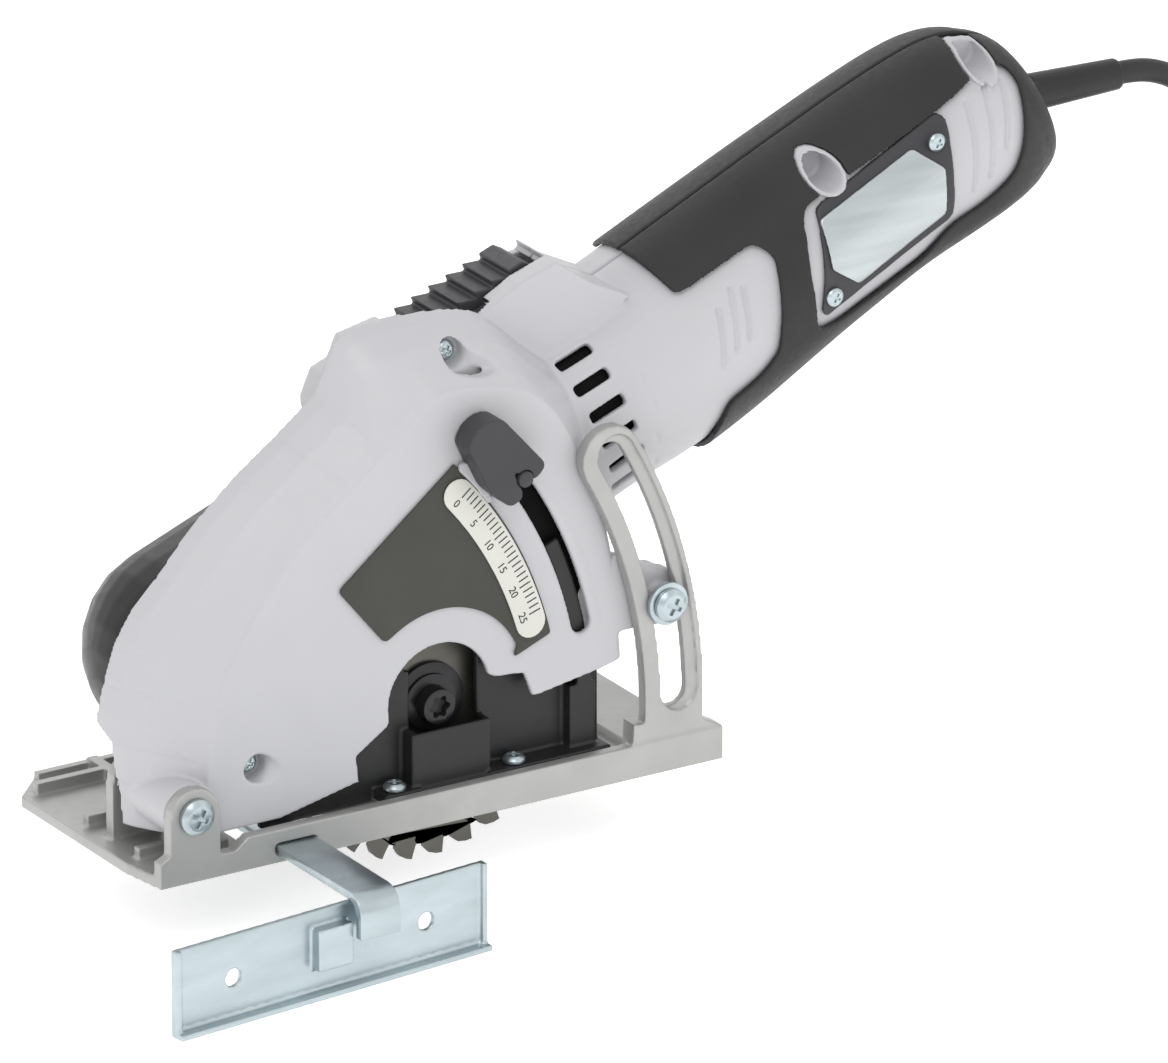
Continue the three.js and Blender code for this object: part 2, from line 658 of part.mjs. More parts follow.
// The far shell closes the motor body; its front half is the gear case side.
function farShell() {
  const body = housingBody().intersect(farHalf);
  const motorSpace = tilted(bodyLoft(shellWall, 4, 150)).intersect(farHalf);
  return cut(body, motorSpace, tilted(switchWell), caseOutline(gap, -5, 40), sleeveSeat(4, 10, gap));
}

// ---------------------------------------------------------------- gear case
// Gear case, open on the far side, with the wall that parts it from the blade.
function gearCase() {
  const outer = caseOutline(0, caseNearY, caseFarY);
  const backPlate = coverLoft(wall + 0.5, coverNearY + wall, coverRimY)
    .intersect(barY(hubX, hubZ, bladeDiameter / 2 + 2.5, caseNearY, caseNearY + 2.6, 40))
    .intersect(box(-60, 300, -60, 0, 24, 118));
  const fanRoom = tilted(barAlong(fanRadius + 1, 34.5, 60, 28));
  const space = join(barY(hubX, hubZ, hubCaseRadius - 2.3, gearFaceY - gap, 40, 32),
    barY(gearX, gearZ, gearCaseRadius - 2, gearFaceY - gap, 40, 36),
    barY(idlerX, idlerZ, idlerPitch + 1, gearFaceY - gap, 40, 32));
  const bearingSeat = barY(hubX, hubZ, 11.3, gearFaceY - 5.3, 0, 28);
  const spindleHole = barY(hubX, hubZ, 7, -60, 0, 24);
  const shaftSeat = barY(gearX, gearZ, shaftDiameter / 2 + gap, gearFaceY - 4, 0, 24);
  const motorMouth = tilted(barAlong(11.5, 4, 40, 24));
  const idlerStud = barY(idlerX, idlerZ, 3, gearFaceY - 1, gearFaceY + gearFaceWidth, 20);
  const shell = join(outer, cut(backPlate, fanRoom));
  return join(cut(shell, space, bearingSeat, spindleHole, shaftSeat, motorMouth), idlerStud);
}

function gearCaseCover() {
  const y0 = caseFarY + gap;
  const y1 = y0 + 3.7;
  const lid = join(caseOutline(0, y0, y1), barY(hubX, hubZ, 11, y0, y1 + 4, 28));
  return cut(lid, barY(hubX, hubZ, 8.3, y0 - 1, y0 + 5.4, 28), barY(hubX, hubZ, 4.6, y0 - 1, y1 + 2.6, 20),
    barY(gearX, gearZ, shaftDiameter / 2 + gap, y0 - 1, y0 + 3, 24),
    barY(lockX, lockZ, 2.4 + gap, 0, 30, 20));
}

// The black nose closes the front of the motor body and is held by the second hand.
function noseCap() {
  const sides = 28;
  const profile = (radius, to) => [
    ...Array.from({ length: 7 }, (_, i) => {
      const turn = (i / 6) * Math.PI / 2;
      return new THREE.Vector2(radius * Math.sin(turn), noseCentre - radius * Math.cos(turn));
    }), new THREE.Vector2(radius, to), new THREE.Vector2(0, to)];
  const capsule = (radius, to) => (
    solid(new THREE.LatheGeometry(profile(radius, to), sides).rotateZ(-Math.PI / 2)));
  const skin = cut(capsule(noseRadius, 4.2), capsule(noseRadius - shellWall, 8));
  return cut(tilted(skin), box(-200, 300, -80, coverRimY + gap, -100, 200),
    caseOutline(gap, caseNearY, caseFarY + 4), barY(lockX, lockZ, lockRadius + gap, 0, 60, 20));
}

add(group, 'housing_far_shell', farShell(), lightPlastic);
add(group, 'gear_case', gearCase(), castAluminium);
add(group, 'gear_case_cover', gearCaseCover(), castAluminium);
add(group, 'nose_cap', noseCap(), blackPlastic);

function scalePanel() {
  const panel = pathShape([
    [46, 69.7], [80, 97], ...arcPoints(113.6, 44.5, 13.4, 12), [99, 40.2],
    ...arcPoints(25.5, 20, 120, 10, 77, 33).slice(1), [60, 52.5],
  ]);
  return cut(slab(panel, coverNearY - gap - 0.6, coverNearY - gap), stopSlot(1.6));
}
add(group, 'scale_panel', scalePanel(), darkPlastic);
add(group, 'scale_label', slab(arcBand(scaleRadius, scaleWidth / 2 - 0.6, scaleFrom + 2, scaleTo - 2),
  coverNearY - 2 * gap - 1, coverNearY - 2 * gap - 0.6), cream);

const washerNearY = guideNearY - gap - 1.5;
add(group, 'guide_washer',
  ring(guideScrewX, guideScrewZ, 2.8, 5.9, washerNearY, guideNearY - gap), zinc);
add(group, 'guide_screw', screwY(guideScrewX, guideScrewZ, 4.6, 2.6, 2.2, washerNearY - gap, 12), zinc);

// ---------------------------------------------------------------- blade and spindle
const bladeNear = bladeY - bladeThickness / 2;
const bladeFar = bladeY + bladeThickness / 2;
const arbor = arborDiameter / 2;
const flangeRadius = 10.5;
const flangeThickness = 1.8;
const outerFlangeNear = bladeNear - gap - flangeThickness;
const boltHeadHeight = 4.2;

function sawBlade() {
  const outer = bladeDiameter / 2;
  const pitch = 360 / bladeTeeth;
  const points = [];
  for (let i = 0; i < bladeTeeth; i++) {
    const at = (radius, share) => polar(radius, -(i + share) * pitch, hubX, hubZ);
    points.push(at(outer, 0), at(outer - 0.8, 0.3), at(outer - 3, 0.62), at(outer - 6.4, 0.72),
      at(outer - 6.6, 0.9), at(outer - 3.4, 0.99));
  }
  return cut(slab(pathShape(points), bladeNear, bladeFar), barY(hubX, hubZ, arbor + gap, -60, 0, 28));
}

function spindle() {
  const nose = barY(hubX, hubZ, arbor, bladeNear + 0.1, caseNearY, 28);
  const body = barY(hubX, hubZ, 6, caseNearY - 0.2, caseFarY - 0.5, 28);
  const tail = barY(hubX, hubZ, 4, caseFarY - 1, caseFarY + 4.6, 24);
  return cut(join(nose, body, tail), barY(hubX, hubZ, boltDiameter / 2 + gap, -60, -11, 20));
}

function bladeBolt() {
  const headNear = outerFlangeNear - gap - boltHeadHeight;
  const head = barY(hubX, hubZ, 4.8, headNear, headNear + boltHeadHeight, 28);
  const shank = barY(hubX, hubZ, boltDiameter / 2, headNear + 4, -12, 20);
  const socket = new THREE.CylinderGeometry(2.9, 2.9, 3, 6).translate(hubX, headNear + 1, hubZ);
  return cut(join(head, shank), solid(socket));
}

add(group, 'saw_blade', sawBlade(), darkSteel);
add(group, 'outer_flange',
  ring(hubX, hubZ, boltDiameter / 2 + gap, flangeRadius, outerFlangeNear, bladeNear - gap), darkSteel);
add(group, 'inner_flange',
  ring(hubX, hubZ, arbor + gap, flangeRadius, bladeFar + gap, caseNearY - 0.2 - gap), darkSteel);
add(group, 'blade_bolt', bladeBolt(), darkSteel);
add(group, 'spindle', spindle(), steel);
add(group, 'spindle_gear', cut(spurGear(spindleGearPitch, 21, hubX, hubZ),
  barY(hubX, hubZ, 6 + gap, -60, 60, 28)), steel);
add(group, 'spindle_bearing_front', ring(hubX, hubZ, 6 + gap, 11, gearFaceY - 5, gearFaceY - gap), steel);
add(group, 'spindle_bearing_rear', ring(hubX, hubZ, 4 + gap, 8, caseFarY + 2 * gap, caseFarY + 4.8), steel);
add(group, 'idler_gear', cut(spurGear(idlerPitch, 22, idlerX, idlerZ),
  barY(idlerX, idlerZ, 3 + gap, -60, 60, 20)), steel);

// ---------------------------------------------------------------- intermediate shaft and bevel pair
function intermediateShaft() {
  const rod = barY(gearX, gearZ, shaftDiameter / 2, gearFaceY - 3.6, caseFarY + 2.8, 24);
  return join(rod, spurGear(pinionPitch, 14, gearX, gearZ));
}

// A toothed cone frustum along +X from its small end, for the bevel pair.
function bevelTeeth(teeth, smallPitch, largePitch, x0, x1) {
  const ringAt = (pitch, x) => gearPoints(pitch, teeth).map(([a, b]) => [x, a, b]);
  return loft([ringAt(smallPitch, x0), ringAt(largePitch, x1)], [1, 2]);
}

const bevelShare = 0.68;
function bevelGear() {
  const cone = bevelTeeth(30, bevelGearPitch * bevelShare, bevelGearPitch, 0, 1);
  const teeth = geometryOf(cone).rotateZ(Math.PI / 2);
  const small = bevelPinionPitch * bevelShare;
  const scaled = teeth.scale(1, bevelPinionPitch - small, 1).translate(gearX, small + 0.5, gearZ);
  const disc = barY(gearX, gearZ, bevelGearPitch - 1.6, bevelPinionPitch + 0.4, bevelPinionPitch + 3, 30);
  return cut(join(solid(scaled), disc), barY(gearX, gearZ, shaftDiameter / 2 + gap, -60, 60, 24));
}
add(group, 'intermediate_shaft', intermediateShaft(), steel);
add(group, 'bevel_gear', bevelGear(), steel);

// ---------------------------------------------------------------- motor, on its own tilted frame
const motor = new THREE.Group();
motor.position.set(gearX, 0, gearZ);
motor.rotation.y = -motorTilt * degree;
group.add(motor);

const tube = (inner, outer, x0, x1, sides = 28) => (
  cut(barAlong(outer, x0, x1, sides), barAlong(inner, x0 - 1, x1 + 1, sides)));
// A block from near to far along Y on the near side, or its mirror image on the far side.
const sideBlock = (side, x0, x1, near, far, z0, z1) => (
  side < 0 ? box(x0, x1, -far, -near, z0, z1) : box(x0, x1, near, far, z0, z1));

function armatureShaft() {
  const pinion = bevelTeeth(12, bevelPinionPitch * bevelShare, bevelPinionPitch,
    bevelGearPitch * bevelShare, bevelGearPitch);
  return join(pinion, barAlong(4, bevelGearPitch - 0.5, 128, 20));
}
const shaftBore = 4 + gap;
add(motor, 'armature_shaft', armatureShaft(), steel);
add(motor, 'armature_core', tube(shaftBore, armatureRadius, statorFrom, statorTo), copper);
add(motor, 'cooling_fan', coolingFan(), blackPlastic);
add(motor, 'commutator', tube(shaftBore, commutatorRadius, statorTo + 8, statorTo + 22), copper);
add(motor, 'armature_bearing_front', tube(shaftBore, 10, 26, 33), steel);
add(motor, 'armature_bearing_rear', tube(shaftBore, 9, 119, 125), steel);

function coolingFan() {
  const blades = Array.from({ length: 10 }, (_, i) => {
    const blade = new THREE.BoxGeometry(6, 12.5, 1.4).translate(42, 14.6, 0).rotateX(i / 10 * 2 * Math.PI);
    return solid(blade);
  });
  return join(tube(shaftBore, fanRadius, 36, 39), tube(shaftBore, 9, 36, 45), ...blades);
}

function statorCore() {
  const core = tube(armatureRadius + 6, statorRadius, statorFrom, statorTo);
  const poles = [[15, 22], [-22, -15]].map(([z0, z1]) => box(statorFrom, statorTo, -9, 9, z0, z1));
  return cut(join(core, ...poles), barAlong(armatureRadius + 0.8, 0, 200));
}

function statorWinding() {
  const end = (x0) => tube(15.5, 19.4, x0, x0 + 5);
  const bars = [-1, 1].map((side) => sideBlock(side, statorFrom - 5, statorTo + 5, 15.6, 19.2, -4, 4));
  return join(end(statorFrom - 5.4), end(statorTo + 0.4), ...bars);
}
add(motor, 'stator_core', statorCore(), darkSteel);
add(motor, 'stator_winding', statorWinding(), copper);

function brushFrame() {
  const hoop = tube(18.5, 22.5, statorTo + 9, statorTo + 20);
  const windows = [-1, 1].map((side) => sideBlock(side, statorTo + 11, statorTo + 18, 10, 30, -3.6, 3.6));
  return cut(hoop, ...windows);
}
add(motor, 'brush_frame', brushFrame(), blackPlastic);
[['near', -1], ['far', 1]].forEach(([place, side]) => {
  const brush = sideBlock(side, statorTo + 11.5, statorTo + 17.5, commutatorRadius + gap, 22, -3, 3);
  add(motor, `carbon_brush_${place}`, brush, carbon);
});

// Bulkhead that carries the front armature bearing.
add(motor, 'bearing_bulkhead', cut(tube(10.3, 26, 27, 32), box(0, 60, -60, 60, 16, 60),
  box(0, 60, -60, caseNearY + 2.6 + gap, -60, 60)), castAluminium);

// ---------------------------------------------------------------- switch
// The slider steps up in thumb ridges, each with its lip towards the nose.
function switchSlider() {
  const ridge = (x) => slab(pathShape([
    [x, sliderLow], [x + ridgePitch, sliderLow], [x + ridgePitch, 46.2], [x, 48.4],
  ]), -sliderHalf, sliderHalf);
  const ridges = Array.from({ length: 5 }, (_, i) => ridge(sliderFrom + i * ridgePitch));
  const tail = slab(pathShape([
    [sliderFrom + 5 * ridgePitch - 0.1, sliderLow], [sliderTo, sliderLow], [sliderTo, 46],
    [sliderTo - 2, 48.2],
    [sliderFrom + 5 * ridgePitch - 0.1, 48.2],
  ]), -sliderHalf, sliderHalf);
  return join(tail, ...ridges);
}
add(motor, 'power_switch', switchSlider(), darkPlastic);
add(motor, 'switch_unit', box(150, 176, -8, 8, -2, 16), blackPlastic);

// Push button that locks the spindle for blade changes.
const lockInnerY = bevelPinionPitch + 3 + gap + lockTravel;
add(group, 'spindle_lock', join(barY(lockX, lockZ, 2.4, lockInnerY, 26, 20),
  barY(lockX, lockZ, lockRadius, 23, noseRadius + lockTravel, 24)), darkPlastic);

// ---------------------------------------------------------------- depth stop
const stopPinRadius = 2.2;
const stopBlockNear = coverNearY - gap - stopBlockThickness;
const [stopPinX, stopPinZ] = polar(stopRadius, stopBlockAngle - 3.2);

function depthStopBlock() {
  const outline = pathShape([
    [81, 104.8], [83.5, 108.8], [87, 111], [91.5, 111], [105.2, 95.4], [101.6, 91.6], [94.8, 95.6],
    [98.4, 87.8], [94.2, 85.4], [87.6, 91.2],
  ]);
  return cut(slab(outline, stopBlockNear, coverNearY - gap),
    barY(stopPinX, stopPinZ, stopPinRadius + gap, -60, 0, 20));
}
add(group, 'depth_stop_block', depthStopBlock(), darkPlastic);
// The pin runs through the slot and stops just short of the arm that rises from the guard.
add(group, 'depth_stop_pin',
  barY(stopPinX, stopPinZ, stopPinRadius, stopBlockNear - 0.6, coverNearY + wall, 20), darkPlastic);

// ---------------------------------------------------------------- grip, plate and cord entry
// A patch of skin that follows the body between two heights above it, inside an outline seen from the side.
function skinPatch(low, high, outline, half) {
  const skin = cut(bodyLoft(-high, 80, handleEnd - 1), bodyLoft(-low, 79, handleEnd));
  return tilted(skin.intersect(slab(pathShape(outline), -60, 60))).intersect(half);
}

const gripFrom = 99.2;
const gripOutline = [
  [gripFrom, 60], [gripFrom, 24], [110, 22], [133, 23], [136, 18], [131, 6], [126, -6], [119, -9.5],
  [108, -11], [104, -18], [gripFrom, -26], [gripFrom, -60], [handleEnd + 5, -60], [handleEnd + 5, 60],
];
const sidePanelOutline = [
  [149, 23.5], [186, 25], [212, 26.5], [221, 23], [222, 18], [213, 4], [208, -1.5], [198, -4], [186, -4],
  [177, -9.7], [147, -10], [139, -7.5], [142.5, 10],
];
const platePanelOutline = [
  [152.6, 22], [195, 25.5], [197, 23.5], [192, 12], [187.5, -1.5], [143, -5.5], [142, -3],
];
const plateOutline = [[151.6, 19.6], [184, 22], [189.5, 13.4], [185, 1.4], [154.5, -1.6], [148.4, 7]];

for (const [place, half] of [['near', nearHalf], ['far', farHalf]]) {
  const panelHole = tilted(slab(pathShape(sidePanelOutline), -60, 60));
  const openings = place === 'near' ? scoopOpenings() : [];
  const skin = cut(skinPatch(gap, 1.9, gripOutline, half), panelHole, ...openings);
  add(group, `grip_overmould_${place}`, skin, rubber);
}
add(group, 'name_plate_panel', cut(skinPatch(gap, 1.2, platePanelOutline, nearHalf), ...scoopOpenings(),
  ...plateScrews().map(([, x, z]) => barY(x, z, 1.6, -60, 0, 16))), darkPlastic);
add(group, 'name_plate', skinPatch(1.5, 2, plateOutline, nearHalf), zinc);

// The two screws of the name plate, at opposite corners.
function plateScrews() {
  const cosine = Math.cos(motorTilt * degree);
  const sine = Math.sin(motorTilt * degree);
  return [['top', 190.5, 20.5], ['bottom', 146.2, -0.4]]
    .map(([place, s, h]) => [place, gearX + s * cosine - h * sine, gearZ + s * sine + h * cosine]);
}
plateScrews().forEach(([place, x, z]) => {
  const seatY = place === 'top' ? -25 : -28.4;
  add(group, `name_plate_screw_${place}`, screwY(x, z, 2.5, 1.4, 1.2, seatY, 2.6), zinc);
});
shellScrews.forEach(([place, x, z, faceY]) => {
  const seatY = faceY + screwSink - gap;
  add(group, `shell_screw_${place}`, screwY(x, z, 2.8, 1.7, 1.3, seatY, screwLength), zinc);
});

// Tapered sleeve that keeps the cord from kinking where it leaves the handle.
function strainRelief() {
  const profile = [[0, sleeveFrom], [5.2, sleeveFrom], [4.3, sleeveTo], [0, sleeveTo]]
    .map(([radius, along]) => new THREE.Vector2(radius, along));
  const cone = solid(new THREE.LatheGeometry(profile, 24).rotateZ(-Math.PI / 2).translate(0, 0, cordZ));
  return join(cone, sleeveSeat(4, 10));
}

// The square neck and inner flange that key the sleeve into the end of the handle.
function sleeveSeat(half, flangeHalf, clearance = 0) {
  const grown = half + clearance;
  return join(box(268, sleeveFrom + 0.5, -grown, grown, cordZ - grown, cordZ + grown),
    box(266, 269, -flangeHalf, flangeHalf, cordZ - 8, cordZ + 8));
}
add(group, 'strain_relief', strainRelief(), blackPlastic);

// ---------------------------------------------------------------- supply cord
// It drops from the handle to the surface under the fence; its spare length lies there in a round coil.
const floorZ = barBottomZ - gap - fenceHeight;
const cordRoute = [
  [sleeveTo + gap, 0, cordZ], [311, 0, 151], [316, 0, 150.5], [321, 0, 149.1], [326, 0, 146.6],
  [330.5, 0, 143], [334.5, 0, 138.2], [337.4, 0, 132.4], [339.2, 0.1, 126], [340.2, 0.2, 119],
  [340.4, 0.5, 105], [339.8, 1, 85], [338.9, 1.8, 62], [337.9, 2.7, 38], [336.8, 3.4, 18], [336.2, 3.6, 9],
  [334.5, 0.5, -4.7], [331.3, -5, -12], [327.95, -10.7, -16.2],
];
const tailRoute = [
  [391.6, -24.2, -6.6], [391.3, -14, -9.6], [391.1, -4, -11], [391, 6, -10.4], [plugX, 14, plugZ],
];

function cordTube(route) {
  const path = new THREE.CatmullRomCurve3(route.map((point) => new THREE.Vector3(...point)));
  const section = new THREE.Shape(Array.from({ length: 10 }, (_, i) => {
    const turn = (i + 0.5) / 10 * Math.PI * 2;
    return new THREE.Vector2(cordDiameter / 2 * Math.cos(turn), cordDiameter / 2 * Math.sin(turn));
  }));
  const steps = Math.ceil(path.getLength() / (2.2 * cordDiameter)) + 2;
  return solid(new THREE.ExtrudeGeometry(section, { steps, bevelEnabled: false, extrudePath: path }));
}

function cordCoil() {
  const half = 9.4;
  const top = coilLayers * cordDiameter;
  const profile = [[-half, 0], [half, 0], [half, top], [-half, top], [-half, 0]]
    .map(([across, high]) => new THREE.Vector2(coilTurnRadius + across, high));
  return solid(new THREE.LatheGeometry(profile, 40).rotateX(Math.PI / 2).translate(coilX, coilY, floorZ));
}

// Moulded two-pin plug, lying flat.
function plugBody() {
  const half = plugWidth / 2;
  const backY = tailRoute.at(-1)[1] + 3 * gap;
  const outline = pathShape([
    [-5, backY], [5, backY], [6, backY + 12], [half - 4, backY + 18], [half, backY + 26], [half, backY + 46],
    [-half, backY + 46], [-half, backY + 26], [4 - half, backY + 18], [-6, backY + 12],
  ]);
  const low = -plugThickness / 2;
  const body = plate(outline, low, -low);
  const sleeve = box(-7, 7, backY - 1, backY + 14, low - 1, -6);
  const pins = [-9.5, 9.5].map((x) => barY(x, 0, 2.4, backY + 45, backY + 65, 20));
  const upper = box(-7, 7, backY - 1, backY + 14, 6, 1 - low);
  return join(cut(body, sleeve, upper), ...pins).translate([plugX, 0, plugZ]);
}
add(group, 'cord_lead', cordTube(cordRoute), blackPlastic);
add(group, 'cord_coil', cordCoil(), blackPlastic);
add(group, 'cord_tail', cordTube(tailRoute), blackPlastic);
add(group, 'plug_body', plugBody(), blackPlastic);

export default group;
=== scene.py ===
"""A compact plunge saw on a pale studio floor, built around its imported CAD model.

Lengths in the tables below are millimetres in the model's frame; MM turns them into metres.
"""
import json
import math

import bmesh
import bpy
from mathutils import Matrix, Vector


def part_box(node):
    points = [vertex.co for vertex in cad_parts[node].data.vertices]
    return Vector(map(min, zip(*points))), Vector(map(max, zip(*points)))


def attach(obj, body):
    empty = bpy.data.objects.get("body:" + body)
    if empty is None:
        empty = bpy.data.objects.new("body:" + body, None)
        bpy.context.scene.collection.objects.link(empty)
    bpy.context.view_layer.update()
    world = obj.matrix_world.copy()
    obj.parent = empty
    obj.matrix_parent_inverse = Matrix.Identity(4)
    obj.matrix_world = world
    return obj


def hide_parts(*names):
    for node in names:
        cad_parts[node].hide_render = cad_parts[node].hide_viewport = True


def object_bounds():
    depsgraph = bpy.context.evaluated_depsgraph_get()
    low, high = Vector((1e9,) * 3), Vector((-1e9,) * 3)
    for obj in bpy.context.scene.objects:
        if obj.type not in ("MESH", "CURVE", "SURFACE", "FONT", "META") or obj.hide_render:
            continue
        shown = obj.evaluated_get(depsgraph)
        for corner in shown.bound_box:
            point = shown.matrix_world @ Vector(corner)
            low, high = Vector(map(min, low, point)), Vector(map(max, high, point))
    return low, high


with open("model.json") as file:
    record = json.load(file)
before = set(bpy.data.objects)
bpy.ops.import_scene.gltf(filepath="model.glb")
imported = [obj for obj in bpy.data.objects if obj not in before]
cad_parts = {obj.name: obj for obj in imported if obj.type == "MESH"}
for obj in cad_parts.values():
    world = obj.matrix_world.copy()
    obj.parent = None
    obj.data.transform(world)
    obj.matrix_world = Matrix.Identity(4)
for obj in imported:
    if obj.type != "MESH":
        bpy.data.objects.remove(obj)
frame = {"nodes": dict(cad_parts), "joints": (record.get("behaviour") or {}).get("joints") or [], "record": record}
cad_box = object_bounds()

MM = 0.001
NODES = frame["nodes"]
JOINTS = {joint["name"]: joint for joint in frame["joints"]}


def joint_place(name):
    return Vector(JOINTS[name]["pos_m"]) / MM


PIVOT = joint_place("plunge")
HUB = joint_place("spindle_spin")
GEAR = joint_place("armature_spin")
AXIS = Vector(JOINTS["armature_spin"]["axis"]).normalized()
LIFT = Vector((-AXIS.z, 0, AXIS.x))
FLOOR_Z = cad_box[0][2] / MM


# ---------------------------------------------------------------- camera
def add_camera():
    """A long lens, level with the photograph's view of the blade side."""
    azimuth = math.radians(-31.8)
    elevation = math.radians(21.6)
    back = Vector((
        math.sin(azimuth) * math.cos(elevation),
        -math.cos(azimuth) * math.cos(elevation),
        math.sin(elevation),
    ))
    right = Vector((math.cos(azimuth), math.sin(azimuth), 0))
    up = back.cross(right)
    screw_head = Vector((PIVOT.x, -41, PIVOT.z))
    place = screw_head + back * 5168 + right * 99.12 + up * 74.37
    data = bpy.data.cameras.new("camera")
    data.sensor_width = 36
    data.lens = 616.4
    data.clip_end = 100
    camera = bpy.data.objects.new("camera", data)
    turn = Matrix((right, up, back)).transposed().to_4x4()
    camera.matrix_world = Matrix.Translation(place * MM) @ turn
    bpy.context.scene.collection.objects.link(camera)
    bpy.context.scene.camera = camera


add_camera()


# ---------------------------------------------------------------- small geometry tools
def polar(radius, degrees, centre=PIVOT):
    """X and Z of a point round a centre, 0 degrees towards the handle."""
    turn = math.radians(degrees)
    return centre.x + radius * math.cos(turn), centre.z + radius * math.sin(turn)


def arc(radius, start, end, steps, centre=PIVOT):
    return [polar(radius, start + (end - start) * i / steps, centre) for i in range(steps + 1)]


def smoothstep(value):
    value = min(max(value, 0), 1)
    return value * value * (3 - 2 * value)


def spline(points, per_span):
    """Points of a Catmull-Rom curve through the given ones, tuples of any size."""
    ends = [points[0], *points, points[-1]]
    out = []
    for i in range(1, len(ends) - 2):
        before, start, end, after = ends[i - 1:i + 3]
        for step in range(per_span):
            t = step / per_span
            out.append(tuple(
                0.5 * (2 * b + (c - a) * t + (2 * a - 5 * b + 4 * c - d) * t * t
                       + (3 * b - a - 3 * c + d) * t ** 3)
                for a, b, c, d in zip(before, start, end, after)))
    out.append(tuple(points[-1]))
    return out


def new_object(name, mesh):
    obj = bpy.data.objects.new(name, mesh)
    bpy.context.scene.collection.objects.link(obj)
    return obj


def from_faces(name, points, faces):
    """An object from points in millimetres, with its faces turned outwards."""
    mesh = bpy.data.meshes.new(name)
    mesh.from_pydata([tuple(c * MM for c in point) for point in points], [], faces)
    work = bmesh.new()
    work.from_mesh(mesh)
    bmesh.ops.recalc_face_normals(work, faces=work.faces)
    work.to_mesh(mesh)
    work.free()
    return new_object(name, mesh)


def loft(name, rings):
    """A closed skin over rings of equally many points, with flat ends."""
    count = len(rings[0])
    points = [point for ring in rings for point in ring]
    faces = []
    for r in range(len(rings) - 1):
        for i in range(count):
            a = r * count + i
            b = r * count + (i + 1) % count
            faces.append((a, b, b + count, a + count))
    faces.append(tuple(range(count)))
    faces.append(tuple(range(len(points) - count, len(points))))
    return from_faces(name, points, faces)


def slab(name, outline, near, far, place=None):
    """An outline of (x, z) given a thickness along Y, or in the motor's frame with place=motor."""
    at = place or (lambda x, y, z: (x, y, z))
    return loft(name, [[at(x, y, z) for x, z in outline] for y in (near, far)])


def motor(along, y, high):
    """A point of the motor's frame: along its axis, across, and above the axis."""
    return tuple(GEAR + AXIS * along + LIFT * high + Vector((0, y, 0)))


def block(name, x0, x1, y0, y1, z0, z1, place=None):
    return slab(name, [(x0, z0), (x1, z0), (x1, z1), (x0, z1)], y0, y1, place)


def band(radius, half, start, end, steps=20):
    """The outline of a band about the pivot, with round ends."""
    first = Vector((polar(radius, start)[0], 0, polar(radius, start)[1]))
    last = Vector((polar(radius, end)[0], 0, polar(radius, end)[1]))
    return [
        *arc(radius + half, start, end, steps),
        *arc(half, end, end + 180, 10, last)[1:-1],
        *arc(radius - half, end, start, steps),
        *arc(half, start + 180, start + 360, 10, first)[1:-1],
    ]


def apply_modifiers(obj):
    graph = bpy.context.evaluated_depsgraph_get()
    mesh = bpy.data.meshes.new_from_object(obj.evaluated_get(graph))
    obj.modifiers.clear()
    obj.data = mesh
    return obj


def boolean(obj, others, operation="DIFFERENCE"):
    for other in others:
        change = obj.modifiers.new("cut", "BOOLEAN")
        change.operation = operation
        change.solver = "MANIFOLD"
        change.object = other
    apply_modifiers(obj)
    for other in others:
        bpy.data.objects.remove(other)
    return obj


def joined(name, parts):
    """One object from the meshes of several."""
    work = bmesh.new()
    for part in parts:
        work.from_mesh(part.data)
        bpy.data.objects.remove(part)
    mesh = bpy.data.meshes.new(name)
    work.to_mesh(mesh)
    work.free()
    return new_object(name, mesh)


def moulded(obj, voxel=0.75, rounds=6):
    """Melts a set of closed solids into one skin with softly rounded edges."""
    remesh = obj.modifiers.new("remesh", "REMESH")
    remesh.mode = "VOXEL"
    remesh.voxel_size = voxel * MM
    smooth = obj.modifiers.new("smooth", "SMOOTH")
    smooth.factor = 0.5
    smooth.iterations = rounds
    apply_modifiers(obj)
    shade(obj, 180)
    return obj


def shade(obj, sharp_degrees):
    for polygon in obj.data.polygons:
        polygon.use_smooth = True
    obj.data.set_sharp_from_angle(angle=math.radians(sharp_degrees))


def bevelled(obj, width=0.35, segments=2, angle=32):
    """Rounds the sharp edges of a hard piece."""
    work = bmesh.new()
    work.from_mesh(obj.data)
    bmesh.ops.remove_doubles(work, verts=work.verts, dist=0.005 * MM)
    bmesh.ops.dissolve_limit(work, angle_limit=math.radians(2), verts=work.verts, edges=work.edges)
    work.to_mesh(obj.data)
    work.free()
    change = obj.modifiers.new("bevel", "BEVEL")
    change.width = width * MM
    change.segments = segments
    change.limit_method = "ANGLE"
    change.angle_limit = math.radians(angle)
    change.harden_normals = False
    apply_modifiers(obj)
    shade(obj, 40)
    return obj


def copy_of(node, name):
    return new_object(name, NODES[node].data.copy())


def place_piece(obj, body, material, replaces=()):
    obj.data.materials.clear()
    obj.data.materials.append(material)
    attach(obj, body)
    if replaces:
        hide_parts(*replaces)
    return obj


# ---------------------------------------------------------------- materials
def node_material(name):
    material = bpy.data.materials.new(name)
    material.use_nodes = True
    tree = material.node_tree
    return material, tree, tree.nodes["Principled BSDF"]


